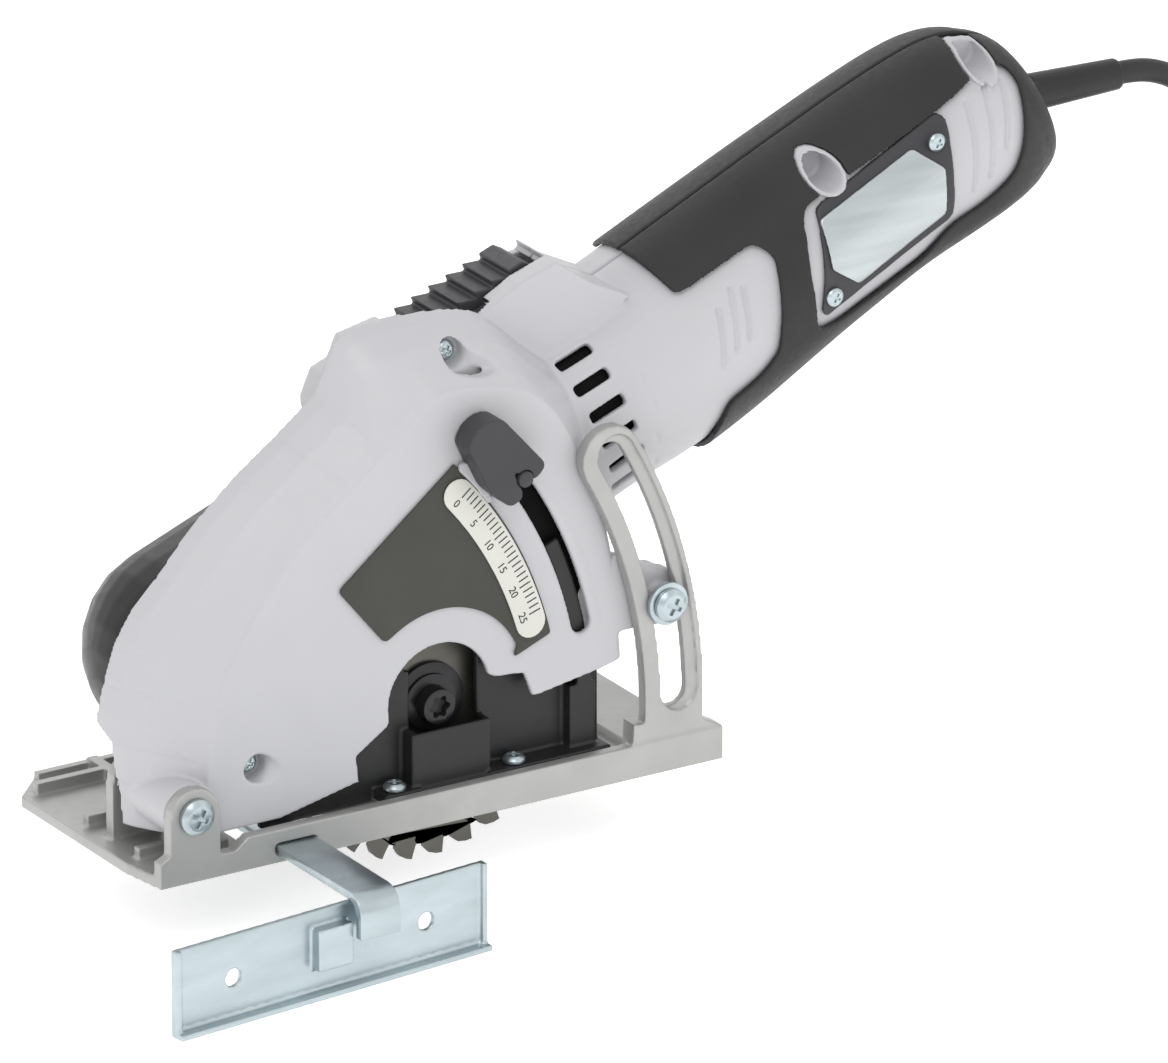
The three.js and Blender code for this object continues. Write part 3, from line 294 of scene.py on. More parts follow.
def noise(tree, scale, detail, stretch=(1, 1, 1)):
    """Noise in the piece's own space, so that it stays put as the piece moves."""
    place = tree.nodes.new("ShaderNodeTexCoord")
    mapping = tree.nodes.new("ShaderNodeMapping")
    mapping.inputs["Scale"].default_value = stretch
    texture = tree.nodes.new("ShaderNodeTexNoise")
    texture.inputs["Scale"].default_value = scale
    texture.inputs["Detail"].default_value = detail
    tree.links.new(place.outputs["Object"], mapping.inputs["Vector"])
    tree.links.new(mapping.outputs["Vector"], texture.inputs["Vector"])
    return texture.outputs["Fac"]


def ramp(tree, value, low, high):
    """Spreads a noise value over a range of two colours."""
    node = tree.nodes.new("ShaderNodeValToRGB")
    node.color_ramp.elements[0].position = 0.3
    node.color_ramp.elements[1].position = 0.7
    node.color_ramp.elements[0].color = (*low, 1)
    node.color_ramp.elements[1].color = (*high, 1)
    tree.links.new(value, node.inputs["Fac"])
    return node.outputs["Color"]


def surface(name, colour, roughness, metallic=0, variation=0.06, grain=1500, relief=0.02, gloss=0.5,
            stretch=(1, 1, 1), patch=60):
    """A moulded, cast or plated surface: patchy colour, uneven gloss and a fine grain in relief."""
    material, tree, shader = node_material(name)
    shade_of = [[channel * (1 + sign * variation) for channel in colour] for sign in (-1, 1)]
    tree.links.new(ramp(tree, noise(tree, patch, 4, stretch), *shade_of), shader.inputs["Base Color"])
    uneven = ramp(tree, noise(tree, grain * 0.2, 3, stretch), [roughness * 0.88] * 3, [roughness * 1.12] * 3)
    tree.links.new(uneven, shader.inputs["Roughness"])
    bump = tree.nodes.new("ShaderNodeBump")
    bump.inputs["Strength"].default_value = 0.5
    bump.inputs["Distance"].default_value = relief * MM
    tree.links.new(noise(tree, grain, 3, stretch), bump.inputs["Height"])
    tree.links.new(bump.outputs["Normal"], shader.inputs["Normal"])
    shader.inputs["Metallic"].default_value = metallic
    shader.inputs["Specular IOR Level"].default_value = gloss
    return material


LIGHT = surface("light_plastic", (0.46, 0.46, 0.48), 0.45, grain=2600, relief=0.012, variation=0.012)
DARK = surface("dark_plastic", (0.044, 0.044, 0.048), 0.45, grain=2400, relief=0.015, gloss=0.3)
BLACK = surface("black_plastic", (0.016, 0.016, 0.017), 0.38, grain=2200, relief=0.014, variation=0.12,
                gloss=0.35)
PANEL = surface("panel_print", (0.05, 0.05, 0.043), 0.5, grain=3200, relief=0.006, gloss=0.25)
RUBBER = surface("grip_rubber", (0.025, 0.025, 0.0258), 0.5, grain=3000, relief=0.025, variation=0.08,
                 gloss=0.25)
CORD = surface("cord_sheath", (0.024, 0.024, 0.025), 0.42, grain=2000, relief=0.01, variation=0.1, gloss=0.3)
CAST = surface("cast_aluminium", (0.385, 0.385, 0.375), 0.42, metallic=0.5, grain=1500, relief=0.03)
ZINC = surface("zinc_plate", (0.44, 0.505, 0.53), 0.3, metallic=0.9, grain=900, relief=0.012, variation=0.1,
               stretch=(0.25, 1, 1), patch=160)
STEEL = surface("ground_steel", (0.42, 0.42, 0.43), 0.3, metallic=1, grain=1600, relief=0.01)
BLADE = surface("blade_steel", (0.105, 0.102, 0.09), 0.36, metallic=0.8, grain=1800, relief=0.015,
                variation=0.15)
BLACKED = surface("blacked_steel", (0.03, 0.03, 0.032), 0.34, metallic=0.6, grain=1800, relief=0.012)
COPPER = surface("copper_wire", (0.5, 0.25, 0.12), 0.32, metallic=0.9, grain=2400, relief=0.05)
CARBON = surface("carbon_block", (0.03, 0.03, 0.033), 0.6, grain=2600, relief=0.02, gloss=0.2)
LABEL = surface("label_print", (0.58, 0.58, 0.53), 0.45, grain=2400, relief=0.006, variation=0.03)
INK = surface("ink", (0.03, 0.03, 0.03), 0.5, grain=2400, relief=0.004, gloss=0.2)
SILVER = surface("brushed_silver", (0.46, 0.50, 0.51), 0.33, metallic=0.85, grain=1400, relief=0.01,
                 variation=0.1, stretch=(0.08, 1, 1), patch=240)
# Near-black and dull: painted shade, for the insides seen through the cover's slot and the motor's vents.
PAINTED_SHADE_BLACK = surface("painted_shade_black", (0.006, 0.006, 0.006), 0.7, grain=1200, relief=0.005, gloss=0.1)

FINISHES = {
    "cast_aluminium": CAST, "light_housing": LIGHT, "dark_plastic": DARK, "black_plastic": BLACK,
    "grip_rubber": RUBBER, "cord_sheath": CORD, "zinc": ZINC, "steel": STEEL, "dark_steel": BLADE,
    "copper": COPPER, "carbon": CARBON, "label": LABEL,
}
SLOT_OF = {part["node"]: part["material_slot"] for part in frame["record"]["subparts"]}
BODY_OF = {node: body for body, nodes in frame["record"]["behaviour"]["bodies"].items() for node in nodes}


def finish_cad_nodes():
    """Every CAD node that stays in view keeps its shape and gets its slot's finish, save three inner motor parts
    that are painted near-black as shade.
    """
    for node, obj in NODES.items():
        obj.data.materials.clear()
        obj.data.materials.append(FINISHES[SLOT_OF[node]])
        shade(obj, 30)
    # The stator and brush frame, seen through the vents, take the near-black finish: painted shade for the dark
    # inside of the motor.
    for node in ("stator_core", "stator_winding", "brush_frame"):
        NODES[node].data.materials[0] = PAINTED_SHADE_BLACK


finish_cad_nodes()


# ---------------------------------------------------------------- supply cord
CORD_DIAMETER = 6.4
CORD_ROUTE = [
    (308.3, 0, 151), (311, 0, 151), (316, 0, 150.5), (321, 0, 149.1), (326, 0, 146.6), (330.5, 0, 143),
    (334.5, 0, 138.2), (337.4, 0, 132.4), (339.2, 0.1, 126), (340.2, 0.2, 119), (340.4, 0.5, 105),
    (339.8, 1, 85), (338.9, 1.8, 62), (337.9, 2.7, 38), (336.8, 3.4, 18), (336.2, 3.6, 9),
    (334.5, 0.5, -4.7), (331.3, -5, -12), (327.95, -10.7, -16.2), (322.2, -20.6, -18.7),
]
TAIL_ROUTE = [(391.6, -24.2, -6.6), (391.3, -14, -9.6), (391.1, -4, -11), (391, 6, -10.4), (391, 14.6, -9)]


def coil_points():
    """The spare length, wound in layers that run inwards and outwards in turn."""
    low, high = (Vector(corner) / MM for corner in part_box("cord_coil"))
    centre = (low + high) / 2
    layers = 4
    turns = 7.6
    outer = (high.x - low.x) / 2 - CORD_DIAMETER / 2 - 0.2
    inner = outer - 12
    steps = 150
    points = []
    for i in range(steps + 1):
        share = min(i / steps * layers, layers - 1e-6)
        layer = int(share)
        along = share - layer
        inward = along if layer % 2 == 0 else 1 - along
        rise = smoothstep((along - 0.86) / 0.14) if layer < layers - 1 else 0
        angle = math.radians(150 + 360 * turns * i / steps)
        radius = outer + (inner - outer) * inward
        points.append((
            centre.x + radius * math.cos(angle),
            centre.y + radius * math.sin(angle),
            low.z + CORD_DIAMETER * (0.5 + layer + rise),
        ))
    return points


def add_cord():
    route = spline(CORD_ROUTE + coil_points() + TAIL_ROUTE, 4)
    data = bpy.data.curves.new("supply_cord", "CURVE")
    data.dimensions = "3D"
    data.bevel_depth = CORD_DIAMETER / 2 * MM
    data.bevel_resolution = 5
    data.use_fill_caps = True
    line = data.splines.new("POLY")
    line.points.add(len(route) - 1)
    for point, place in zip(line.points, route):
        point.co = (*(c * MM for c in place), 1)
    line.use_smooth = True
    obj = new_object("supply_cord", data)
    place_piece(obj, "saw_head", CORD, ("cord_lead", "cord_coil", "cord_tail"))


add_cord()


# ---------------------------------------------------------------- housing
HOUSING_MID = 0.15
COVER_NEAR = -33.6
COVER_RIM = -14
COVER_WALL = 2
COVER_MIDDLE = (70, 62)
SHELL_WALL = 2.5
HANDLE_END = 228

# Points of the cover's outline as (near face, rim), from the pivot up over the nose and down the back.
PLATED_ROWS = [
    ((5, 6), (-7.5, 8)), ((5.4, 18), (-9.5, 22)), ((6, 29), (-11, 33)), ((7.5, 38), (-15.5, 40)),
    ((9.5, 46), (-13.2, 50)), ((12, 53), (-10, 60)), ((17.2, 62), (-5, 68)), ((23.8, 72), (3, 76)),
    ((30.5, 81), (13.5, 88)), ((40, 90.5), (27, 99.5)), ((50.3, 98.5), (39, 108)),
    ((59.3, 105.3), (51, 117)), ((66, 111), (57, 130)),
]
SMOOTH_ROWS = [
    ((66, 111), (57, 130)), ((72, 115.5), (62, 133)), ((80, 119), (77, 134)), ((100, 116), (98, 131)),
    ((111, 109), (112, 120)), ((119, 97), (132, 101)), ((126, 80), (134, 80)), ((131, 60), (131.5, 60)),
    ((133.4, 32.2), (133.4, 32.2)),
]
LAST_ROW = ((120, 6), (120, 8))

# Depth of the cover from its near face, and how far the outline has grown to the rim by there.
COVER_STATIONS = [(0, -1.6), (0.35, -0.9), (1.2, -0.3), (3.2, 0.14), (9.6, 0.6), (15.6, 0.88), (19.6, 1)]
SEAM_HALF = 0.7
SEAM_DEPTH = 0.45

BODY_STATIONS = [
    (4.6, 29, 0), (60, 29, 0), (78, 28, 0), (100, 28.6, 0), (120, 28.3, 1.6), (150, 27, 4.8),
    (180, 26, 7.2), (200, 26, 7.2), (212, 25, 6.6), (220, 22.5, 5.2), (226, 18.5, 3.6), (228, 15, 3),
]
HEAD_OUTLINE = [
    (8, 20), (12, 38), (19, 45), (26, 51.5), (40, 49), (82, 47), (89, 36), (98, 26), (60, 15),
]


def cut(obj, *others):
    return boolean(obj, others)


def join(obj, *others):
    return boolean(obj, others, "UNION")


def common(obj, *others):
    return boolean(obj, others, "INTERSECT")


def duplicate(obj):
    return new_object(obj.name, obj.data.copy())


def rod(name, x, z, radius, near, far, sides=48):
    return slab(name, arc(radius, 0, 360, sides, Vector((x, 0, z)))[:-1], near, far)


def cover_rows():
    """The outline's points, with a narrow groove between neighbouring plates of the nose."""
    rows = []
    for index, (near, rim) in enumerate(PLATED_ROWS):
        if 0 < index < len(PLATED_ROWS) - 1:
            rows += [(near, rim, -1), (near, rim, 0), (near, rim, 1)]
        else:
            rows.append((near, rim, None))
    flat = [(*near, *rim) for near, rim in SMOOTH_ROWS]
    rows += [((a, b), (c, d), None) for a, b, c, d in spline(flat, 5)[1:]]
    rows.append((*LAST_ROW, None))
    return rows


def cover_outline(share, inset, seams):
    """The cover's section at one depth, as (x, z) points."""
    rows = cover_rows()
    at = [[n + (r - n) * max(share, 0) for n, r in zip(near, rim)] for near, rim, _ in rows]
    points = []
    for index, (x, z) in enumerate(at):
        side = rows[index][2]
        shrink = inset + max(-share, 0)
        if side is not None:
            along = Vector((at[index + 2][0] - at[index - 2][0], at[index + 2][1] - at[index - 2][1]))
            along.normalize()
            x += along.x * side * SEAM_HALF
            z += along.y * side * SEAM_HALF
            if side == 0 and share > 0.1 and seams:
                shrink += SEAM_DEPTH
        to_middle = Vector((COVER_MIDDLE[0] - x, COVER_MIDDLE[1] - z)).normalized()
        points.append((x + to_middle.x * shrink, z + to_middle.y * shrink))
    return points


def cover_loft(inset, near, rim, seams=False):
    depth = COVER_RIM - COVER_NEAR
    rings = []
    for offset, share in COVER_STATIONS:
        y = near + offset / depth * (rim - near)
        rings.append([(x, y, z) for x, z in cover_outline(share, inset, seams)])
    return loft("cover", rings)


def body_size(along):
    """Radius and lift of the motor body at one station of its axis."""
    for (s0, *first), (s1, *last) in zip(BODY_STATIONS, BODY_STATIONS[1:]):
        if along <= s1:
            share = (along - s0) / (s1 - s0)
            return [a + (b - a) * share for a, b in zip(first, last)]
    return BODY_STATIONS[-1][1:]


def soft_body_size(along, reach=7):
    """The same, averaged over a short stretch, so that the handle swells evenly."""
    reach = min(reach, max(HANDLE_END - along, 0.01), max(along - BODY_STATIONS[0][0], 0.01))
    places = [along + reach * (i / 4 - 1) for i in range(9)]
    sizes = [body_size(place) for place in places]
    return [sum(size[k] for size in sizes) / len(sizes) for k in (0, 1)]


def body_loft(inset, start, end, sides=96, steps=90):
    rings = []
    for i in range(steps + 1):
        along = start + (end - start) * i / steps
        radius, lift = soft_body_size(along)
        rings.append([
            motor(along, (radius - inset) * math.cos(turn), lift + (radius - inset) * math.sin(turn))
            for turn in (2 * math.pi * (k + 0.5) / sides for k in range(sides))])
    return loft("body", rings)


def half_space(near_side):
    y0, y1 = (-80, -HOUSING_MID) if near_side else (HOUSING_MID, 80)
    return block("half", -120, 300, y0, y1, -120, 200)


def head(inset):
    outline = [(s + (inset if s < 50 else -inset * 0.6), h - inset) for s, h in HEAD_OUTLINE]
    return slab("head", outline, -15 + inset, 13 - inset, motor)


def lowered_cheeks():
    """Cutters that let the thumb slider stand clear of the head's two side walls."""
    near = [(22, 60), (22, 49.6), (28, 47.6), (44, 45.8), (56, 45.6), (70, 47.4), (74, 60)]
    far = [(14, 60), (14, 44), (30, 43.4), (70, 42.6), (84, 40), (96, 60)]
    return slab("near_cheek", near, -30, -8, motor), slab("far_cheek", far, 8, 30, motor)


def housing_body():
    tube = cut(body_loft(0, 4.6, HANDLE_END), body_loft(SHELL_WALL, 4, HANDLE_END - 3))
    hump = cut(cut(head(0), head(SHELL_WALL)), block("room", 22, 80, -12, 11, 10, 46, motor),
               *lowered_cheeks())
    return join(tube, hump)


def case_outline(grown, near, far):
    """The three joined rounds of the gear case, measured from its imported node."""
    low, high = (Vector(corner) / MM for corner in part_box("idler_gear"))
    idler = (low + high) / 2
    return join(
        rod("case", HUB.x, HUB.z, 14.5 + grown, near, far),
        rod("case", GEAR.x, GEAR.z, 20 + grown, near, far),
        rod("case", idler.x, idler.z, (high.x - low.x) / 2 + 3 + grown, near, far))


VENT_FROM = 70
VENT_TO = 81
VENT_HEIGHT = 3.2
VENT_TURNS = [50 - 16.8 * k for k in range(6)]
VENT_MARKS = [(85, 16.9), (87.5, 9.6), (87.3, 1.9), (85.3, -7.7), (84.2, -16)]


def vent(degrees):
    """A cutter along the motor axis, turned round it from the top of the near side."""
    turn = math.radians(degrees)
    corners = [(-VENT_HEIGHT / 2, 24), (VENT_HEIGHT / 2, 24), (VENT_HEIGHT / 2, 36), (-VENT_HEIGHT / 2, 36)]
    return loft("vent", [
        [motor(along, -out * math.cos(turn) + across * math.sin(turn),
               out * math.sin(turn) + across * math.cos(turn)) for across, out in corners]
        for along in (VENT_FROM, VENT_TO)])


def stroke(points, width, steps=10):
    """The outline of a line of even width with round ends, in the motor's frame."""
    (s0, h0), (s1, h1) = points
    turn = math.atan2(h1 - h0, s1 - s0)
    out = []
    for s, h, side in ((s1, h1, -1), (s0, h0, 1)):
        for i in range(steps + 1):
            angle = turn + math.pi * (side / 2 + i / steps)
            out.append((s + width / 2 * math.cos(angle), h + width / 2 * math.sin(angle)))
    return out


def surface_cut(outline, depth):
    """A cutter that sinks an outline into the body's skin."""
    layer = cut(body_loft(-3, 70, HANDLE_END - 1), body_loft(depth, 69, HANDLE_END))
    return common(layer, slab("mark", outline, -60, -2, motor))


PANEL_GROOVES = [((204.8, 22.6), (196, 1.3)), ((211.8, 22.8), (201.7, 2.1)), ((217.5, 20.5), (209.2, 6.9))]
TAB_GROOVES = [((115.4, 14), (110.2, 0.6)), ((121.1, 16.4), (115.2, 2.2)), ((124.5, 15.2), (119.7, 2.6))]
SCOOPS = [(160.3, 27, -9), (214.8, 27.3, -4.5)]
SCOOP_RADIUS = 4.2


def round_at(along, high, radius, near, far, sides=48):
    turns = [2 * math.pi * k / sides for k in range(sides)]
    outline = [(along + radius * math.cos(t), high + radius * math.sin(t)) for t in turns]
    return slab("round", outline, near, far, motor)


STOP_RADIUS = 123.3
STOP_SLOT = (12.5, 44.2)
GUIDE_RADIUS = 146.5
GUIDE_SCREW = polar(GUIDE_RADIUS, 11.5)
SHELL_SCREWS = [("front", 21.5, 25.4, COVER_NEAR), ("top", 86.2, 124.5, -26.5)]
SCREW_SINK = 6
UNDER_COVER = [
    (-25, -20), (-25, 9), (5, 9.6), (29, 9.9), (52.5, 15), (51.7, 22.2), (61.1, 28.4),
    *arc(15.5, 192, 14, 28, Vector((77, 0, 33))), (94, 35.6), (103, 34.8), (105.5, 28), (107.5, 27.8),
    (126.5, 31), (133, 32.6), (145, 36), (150, -20),
]


def recess(x, z, face):
    """A round scoop for a sunk screw, its edge run out towards the back and down."""
    start = arc(3.9, 0, 360, 40, Vector((x, 0, z)))[:-1]
    rings = []
    for share, deep in ((0, SCREW_SINK), (0.02, 2.4), (0.15, 1.4), (0.4, 0.6), (1, -0.4), (1.4, -2), (1.5, -5)):
        ring = []
        for px, pz in start:
            downhill = max(Vector((px - x, pz - z)).normalized().dot(Vector((0.93, -0.36))), 0)
            reach = 5 * share * downhill + 0.5 * share
            ring.append((px + 0.93 * reach, face + deep, pz - 0.36 * reach))
        rings.append(ring)
    return loft("recess", rings)


def near_shell():
    """Blade cover, motor body and handle frame in one moulding."""
    cover = cover_loft(0, COVER_NEAR, COVER_RIM, seams=True)
    chamber = cover_loft(COVER_WALL, COVER_NEAR + COVER_WALL, COVER_RIM + 0.2)
    body = common(housing_body(), half_space(True))
    motor_room = body_loft(SHELL_WALL, 4, 150)
    lug = slab("lug", [(126, 40), (131, 62), (138, 59), (GUIDE_SCREW[0], GUIDE_SCREW[1] + 8),
                       *arc(8, 60, -110, 20, Vector((GUIDE_SCREW[0], 0, GUIDE_SCREW[1])))],
               COVER_NEAR, COVER_NEAR + 5)
    boss = rod("boss", *GUIDE_SCREW, 7.2, COVER_NEAR, COVER_NEAR + 10)
    spigot = rod("spigot", *GUIDE_SCREW, 3.9, -38.2, COVER_NEAR + 8)
    bosses = [common(rod("boss", x + 2.6, z - 1, 9, face + 0.6, face + 12), cover_loft(0.2, COVER_NEAR, COVER_RIM))
              for _, x, z, face in SHELL_SCREWS]
    scoop_bosses = [common(round_at(s, h, SCOOP_RADIUS + 1.1, -60, floor + 2), body_loft(-1.8, 80, HANDLE_END - 1))
                    for s, h, floor in SCOOPS]
    rim = cut(slab("rim", band(STOP_RADIUS, 5.4, *STOP_SLOT, 40), COVER_NEAR - 0.25, COVER_NEAR + 1),
              slab("hole", band(STOP_RADIUS, 3.9, *STOP_SLOT, 40), COVER_NEAR - 1, COVER_NEAR + 2))
    skin = join(cut(cover, duplicate(chamber)), body, lug, boss, spigot, rim, *scoop_bosses)
    blade_room = cut(chamber, block("keep", -60, 300, -60, 60, 29, 80, motor))
    opened = cut(skin, blade_room, common(motor_room, half_space(True)))
    pivot_boss = rod("boss", PIVOT.x, PIVOT.z, 7.4, -34.7, COVER_RIM)
    shell = join(cut(opened, slab("under", UNDER_COVER, -45, -5)), pivot_boss, *bosses)
    slot = slab("slot", band(STOP_RADIUS, 2.9, *STOP_SLOT, 40), COVER_NEAR - 2, -30)
    switch_well = block("well", 38.2, 82.5, -8.2, 8.2, 43.4, 60, motor)
    holes = [vent(degrees) for degrees in VENT_TURNS]
    holes += [round_at(s, h, SCOOP_RADIUS, -60, floor) for s, h, floor in SCOOPS]
    holes += [surface_cut(stroke(ends, 1.7), 0.9) for ends in PANEL_GROOVES]
    holes += [surface_cut(stroke(ends, 1.5), 0.9) for ends in TAB_GROOVES]
    holes += [surface_cut(stroke(((s, h + 1.3), (s + 0.5, h - 1.3)), 1.2), 0.4) for s, h in VENT_MARKS]
    seats = [recess(x, z, face) for _, x, z, face in SHELL_SCREWS]
    seats += [rod("seat", x, z, 1.6, face - 6, face + 16) for _, x, z, face in SHELL_SCREWS]
    cut(shell, rod("bore", PIVOT.x, PIVOT.z, 4.3, -50, 0), slot, switch_well, *holes, *seats,
        rod("bore", *GUIDE_SCREW, 2.6, -50, -27), case_outline(0.3, -19.1, 40),
        block("neck", 260, 290, -4.3, 4.3, 146.7, 155.3), block("neck", 264, 271, -10.3, 10.3, 142.7, 159.3))
    return shell


def far_shell():
    body = common(housing_body(), half_space(False))
    return cut(body, common(body_loft(SHELL_WALL, 4, 150), half_space(False)),
               block("well", 38.2, 82.5, -8.2, 8.2, 43.4, 60, motor), case_outline(0.3, -5, 40),
               block("neck", 260, 290, -4.3, 4.3, 146.7, 155.3),
               block("neck", 264, 271, -10.3, 10.3, 142.7, 159.3))


def add_liner():
    """A near-black, dull screen behind the cover's slot: painted shade, standing in for the dark inside of the
    cover.
    """
    y = COVER_NEAR + 5
    screen = bevelled(slab("slot_painted_shade", band(STOP_RADIUS, 5.6, 17, 43, 40), y, y + 0.5), 0.1, 1)
    place_piece(screen, "saw_head", PAINTED_SHADE_BLACK)


def add_housing():
    for side, build in (("near", near_shell), ("far", far_shell)):
        shell = moulded(build(), 0.5, 6)
        shell.name = f"shell_{side}"
        place_piece(shell, "saw_head", LIGHT, [f"housing_{side}_shell"])


add_housing()
add_liner()


# ---------------------------------------------------------------- rubber grip and side panel
GRIP_FROM = 99.2
GRIP_EDGE = [
    (99.2, 24), (110, 22), (133, 23), (136, 18), (131, 6), (126, -6), (119, -9.5), (108, -11),
    (104, -18), (99.2, -26),
]
SIDE_PANEL = [
    (149, 23.5), (186, 25), (212, 26.5), (221, 23), (222, 18), (213, 4), (208, -1.5), (198, -4),
    (186, -4), (177, -9.7), (147, -10), (139, -7.5), (142.5, 10),
]
PLATE_PANEL = [(152.6, 22), (195, 25.5), (197, 23.5), (192, 12), (187.5, -1.5), (143, -5.5), (142, -3)]
PLATE = [(151.6, 19.6), (184, 22), (189.5, 13.4), (185, 1.4), (154.5, -1.6), (148.4, 7)]


def rounded(outline, radius, steps=4):
    """An outline with its corners rounded by small arcs."""
    out = []
    count = len(outline)
    for i in range(count):
        before, corner, after = (Vector(outline[(i + k) % count]) for k in (-1, 0, 1))
        to_before, to_after = before - corner, after - corner
        reach = min(radius, to_before.length * 0.45, to_after.length * 0.45)
        start = corner + to_before.normalized() * reach
        end = corner + to_after.normalized() * reach
        for step in range(steps + 1):
            t = step / steps
            out.append(tuple(start * (1 - t) ** 2 + corner * 2 * t * (1 - t) + end * t ** 2))
    return out


def skin(low, high, outline, near_side, start=80, end=HANDLE_END - 1):
    """A layer of the body's skin between two heights above it, inside an outline seen from the side."""
    layer = cut(body_loft(-high, start, end), body_loft(-low, start - 1, end + 1))
    return common(layer, slab("outline", outline, -60, 60, motor), half_space(near_side))


def grip(near_side):
    edge = rounded(GRIP_EDGE, 2.5)[5:-5]
    outline = [(GRIP_FROM, 60), *edge, (GRIP_FROM, -60), (HANDLE_END + 5, -60), (HANDLE_END + 5, 60)]
    layer = cut(skin(0.3, 1.9, outline, near_side), slab("panel", rounded(SIDE_PANEL, 4), -60, 60, motor))
    if near_side:
        cut(layer, *(round_at(s, h, SCOOP_RADIUS + 1.3, -60, 0) for s, h, _ in SCOOPS))
    return layer


def add_grip():
    for side in ("near", "far"):
        piece = moulded(grip(side == "near"), 0.45, 8)
        piece.name = f"grip_{side}"
        place_piece(piece, "saw_head", RUBBER, [f"grip_overmould_{side}"])
    panel = moulded(skin(0.2, 1.2, rounded(PLATE_PANEL, 2.5), True), 0.4, 3)
    panel.name = "plate_panel"
    place_piece(panel, "saw_head", DARK, ["name_plate_panel"])
    plate = moulded(skin(1.3, 2, rounded(PLATE, 1), True), 0.3, 2)
    plate.name = "blank_plate"
    place_piece(plate, "saw_head", SILVER, ["name_plate"])


add_grip()


# ---------------------------------------------------------------- pieces kept from the CAD shape
def soft_copy(node, voxel, rounds, finish=None):
    piece = moulded(copy_of(node, f"{node}_moulded"), voxel, rounds)
    return place_piece(piece, BODY_OF[node], finish or FINISHES[SLOT_OF[node]], [node])


def sharp_copy(node, width=0.3, finish=None):
    piece = bevelled(copy_of(node, f"{node}_edged"), width)
    return place_piece(piece, BODY_OF[node], finish or FINISHES[SLOT_OF[node]], [node])


for node, voxel, rounds in (
        ("base_plate", 0.5, 3), ("lower_blade_guard", 0.4, 3), ("nose_cap", 0.6, 10),
        ("plug_body", 0.5, 5), ("strain_relief", 0.35, 4), ("fence_plate", 0.4, 2),
        ("power_switch", 0.3, 3)):
    soft_copy(node, voxel, rounds)

for node, width in (
        ("guide_washer", 0.2), ("depth_stop_pin", 0.3), ("spindle_lock", 0.5), ("gear_case_cover", 0.6),
        ("pivot_screw", 0.3), ("guide_screw", 0.3), ("guard_screw_front", 0.3), ("guard_screw_rear", 0.3),
        ("shell_screw_front", 0.2), ("shell_screw_top", 0.2), ("name_plate_screw_top", 0.2),
        ("name_plate_screw_bottom", 0.2)):
    sharp_copy(node, width)


# ---------------------------------------------------------------- blade, flange and bolt
BLADE_RADIUS = 44.5
BLADE_TEETH = 30


def blade_outline():
    """Teeth that lean forwards, each with a round gullet behind a narrow throat."""
    step = 360 / BLADE_TEETH
    points = []
    for tooth in range(BLADE_TEETH):
        start = -tooth * step
        for radius, share in ((44.5, 0), (44.2, 0.2), (43.3, 0.45), (41.6, 0.62), (40.2, 0.66)):
            points.append(polar(radius, start - share * step, HUB))
        gullet_x, gullet_z = polar(39, start - 0.78 * step, HUB)
        gullet = Vector((gullet_x, 0, gullet_z))
        out = start - 0.78 * step
        points += [polar(1.45, out + 130 + 280 * i / 9, gullet) for i in range(10)][1:9][::-1][::-1]
        points.append(polar(40.4, start - 0.9 * step, HUB))
        points.append(polar(43, start - 0.97 * step, HUB))
    return points


def add_blade():
    low, high = (Vector(corner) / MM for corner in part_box("saw_blade"))
    disc = cut(slab("blade", blade_outline(), low.y, high.y), rod("arbor", HUB.x, HUB.z, 5.3, -60, 0))
    bevelled(disc, 0.12, 1)
    place_piece(disc, "blade_spindle", BLADE, ["saw_blade"])
    low, high = (Vector(corner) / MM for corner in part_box("outer_flange"))
    steps = [(10.5, 0), (10.5, 0.9), (8.2, 1.2), (8.2, 1.8)]
    depth = high.y - low.y
    flange = join(*(rod("flange", HUB.x, HUB.z, radius, high.y - depth * top, high.y)
                    for radius, top in ((10.5, 0.5), (7.6, 1))))
    cut(flange, rod("bore", HUB.x, HUB.z, 3.3, -60, 0))
    bevelled(flange, 0.3)
    place_piece(flange, "blade_spindle", BLACKED, ["outer_flange"])
    low, high = (Vector(corner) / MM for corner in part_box("blade_bolt"))
    bolt = join(rod("bolt_head", HUB.x, HUB.z, 4.8, low.y, low.y + 4.2), rod("shank", HUB.x, HUB.z, 3, low.y + 4, high.y))
    star = [(r * math.cos(t), r * math.sin(t)) for r, t in
            ((2.75 + 0.45 * math.cos(6 * 2 * math.pi * k / 48), 2 * math.pi * k / 48) for k in range(48))]
    cut(bolt, slab("socket", [(HUB.x + x, HUB.z + z) for x, z in star], low.y - 1, low.y + 2.5))
    bevelled(bolt, 0.35)
    bolt.name = "socket_bolt"
    place_piece(bolt, "blade_spindle", BLACKED, ["blade_bolt"])


add_blade()


# ---------------------------------------------------------------- depth scale and stop
SCALE_RADIUS = 108.5
SCALE_SPAN = (16.6, 40.9)
TICK_SPAN = (17.8, 40.2)
TICKS = 26
PANEL_OUTLINE = [
    (46, 69.7), (80, 97), *arc(113.6, 44.5, 13.4, 30), (99, 40.2),
    *arc(25.5, 20, 120, 24, Vector((77, 0, 33)))[1:], (60, 52.5),
]
STOP_OUTLINE = [
    (81, 104.8), (83.5, 108.8), (87, 111), (91.5, 111), (105.2, 95.4), (101.6, 91.6), (94.8, 95.6),
    (98.4, 87.8), (94.2, 85.4), (87.6, 91.2),
]


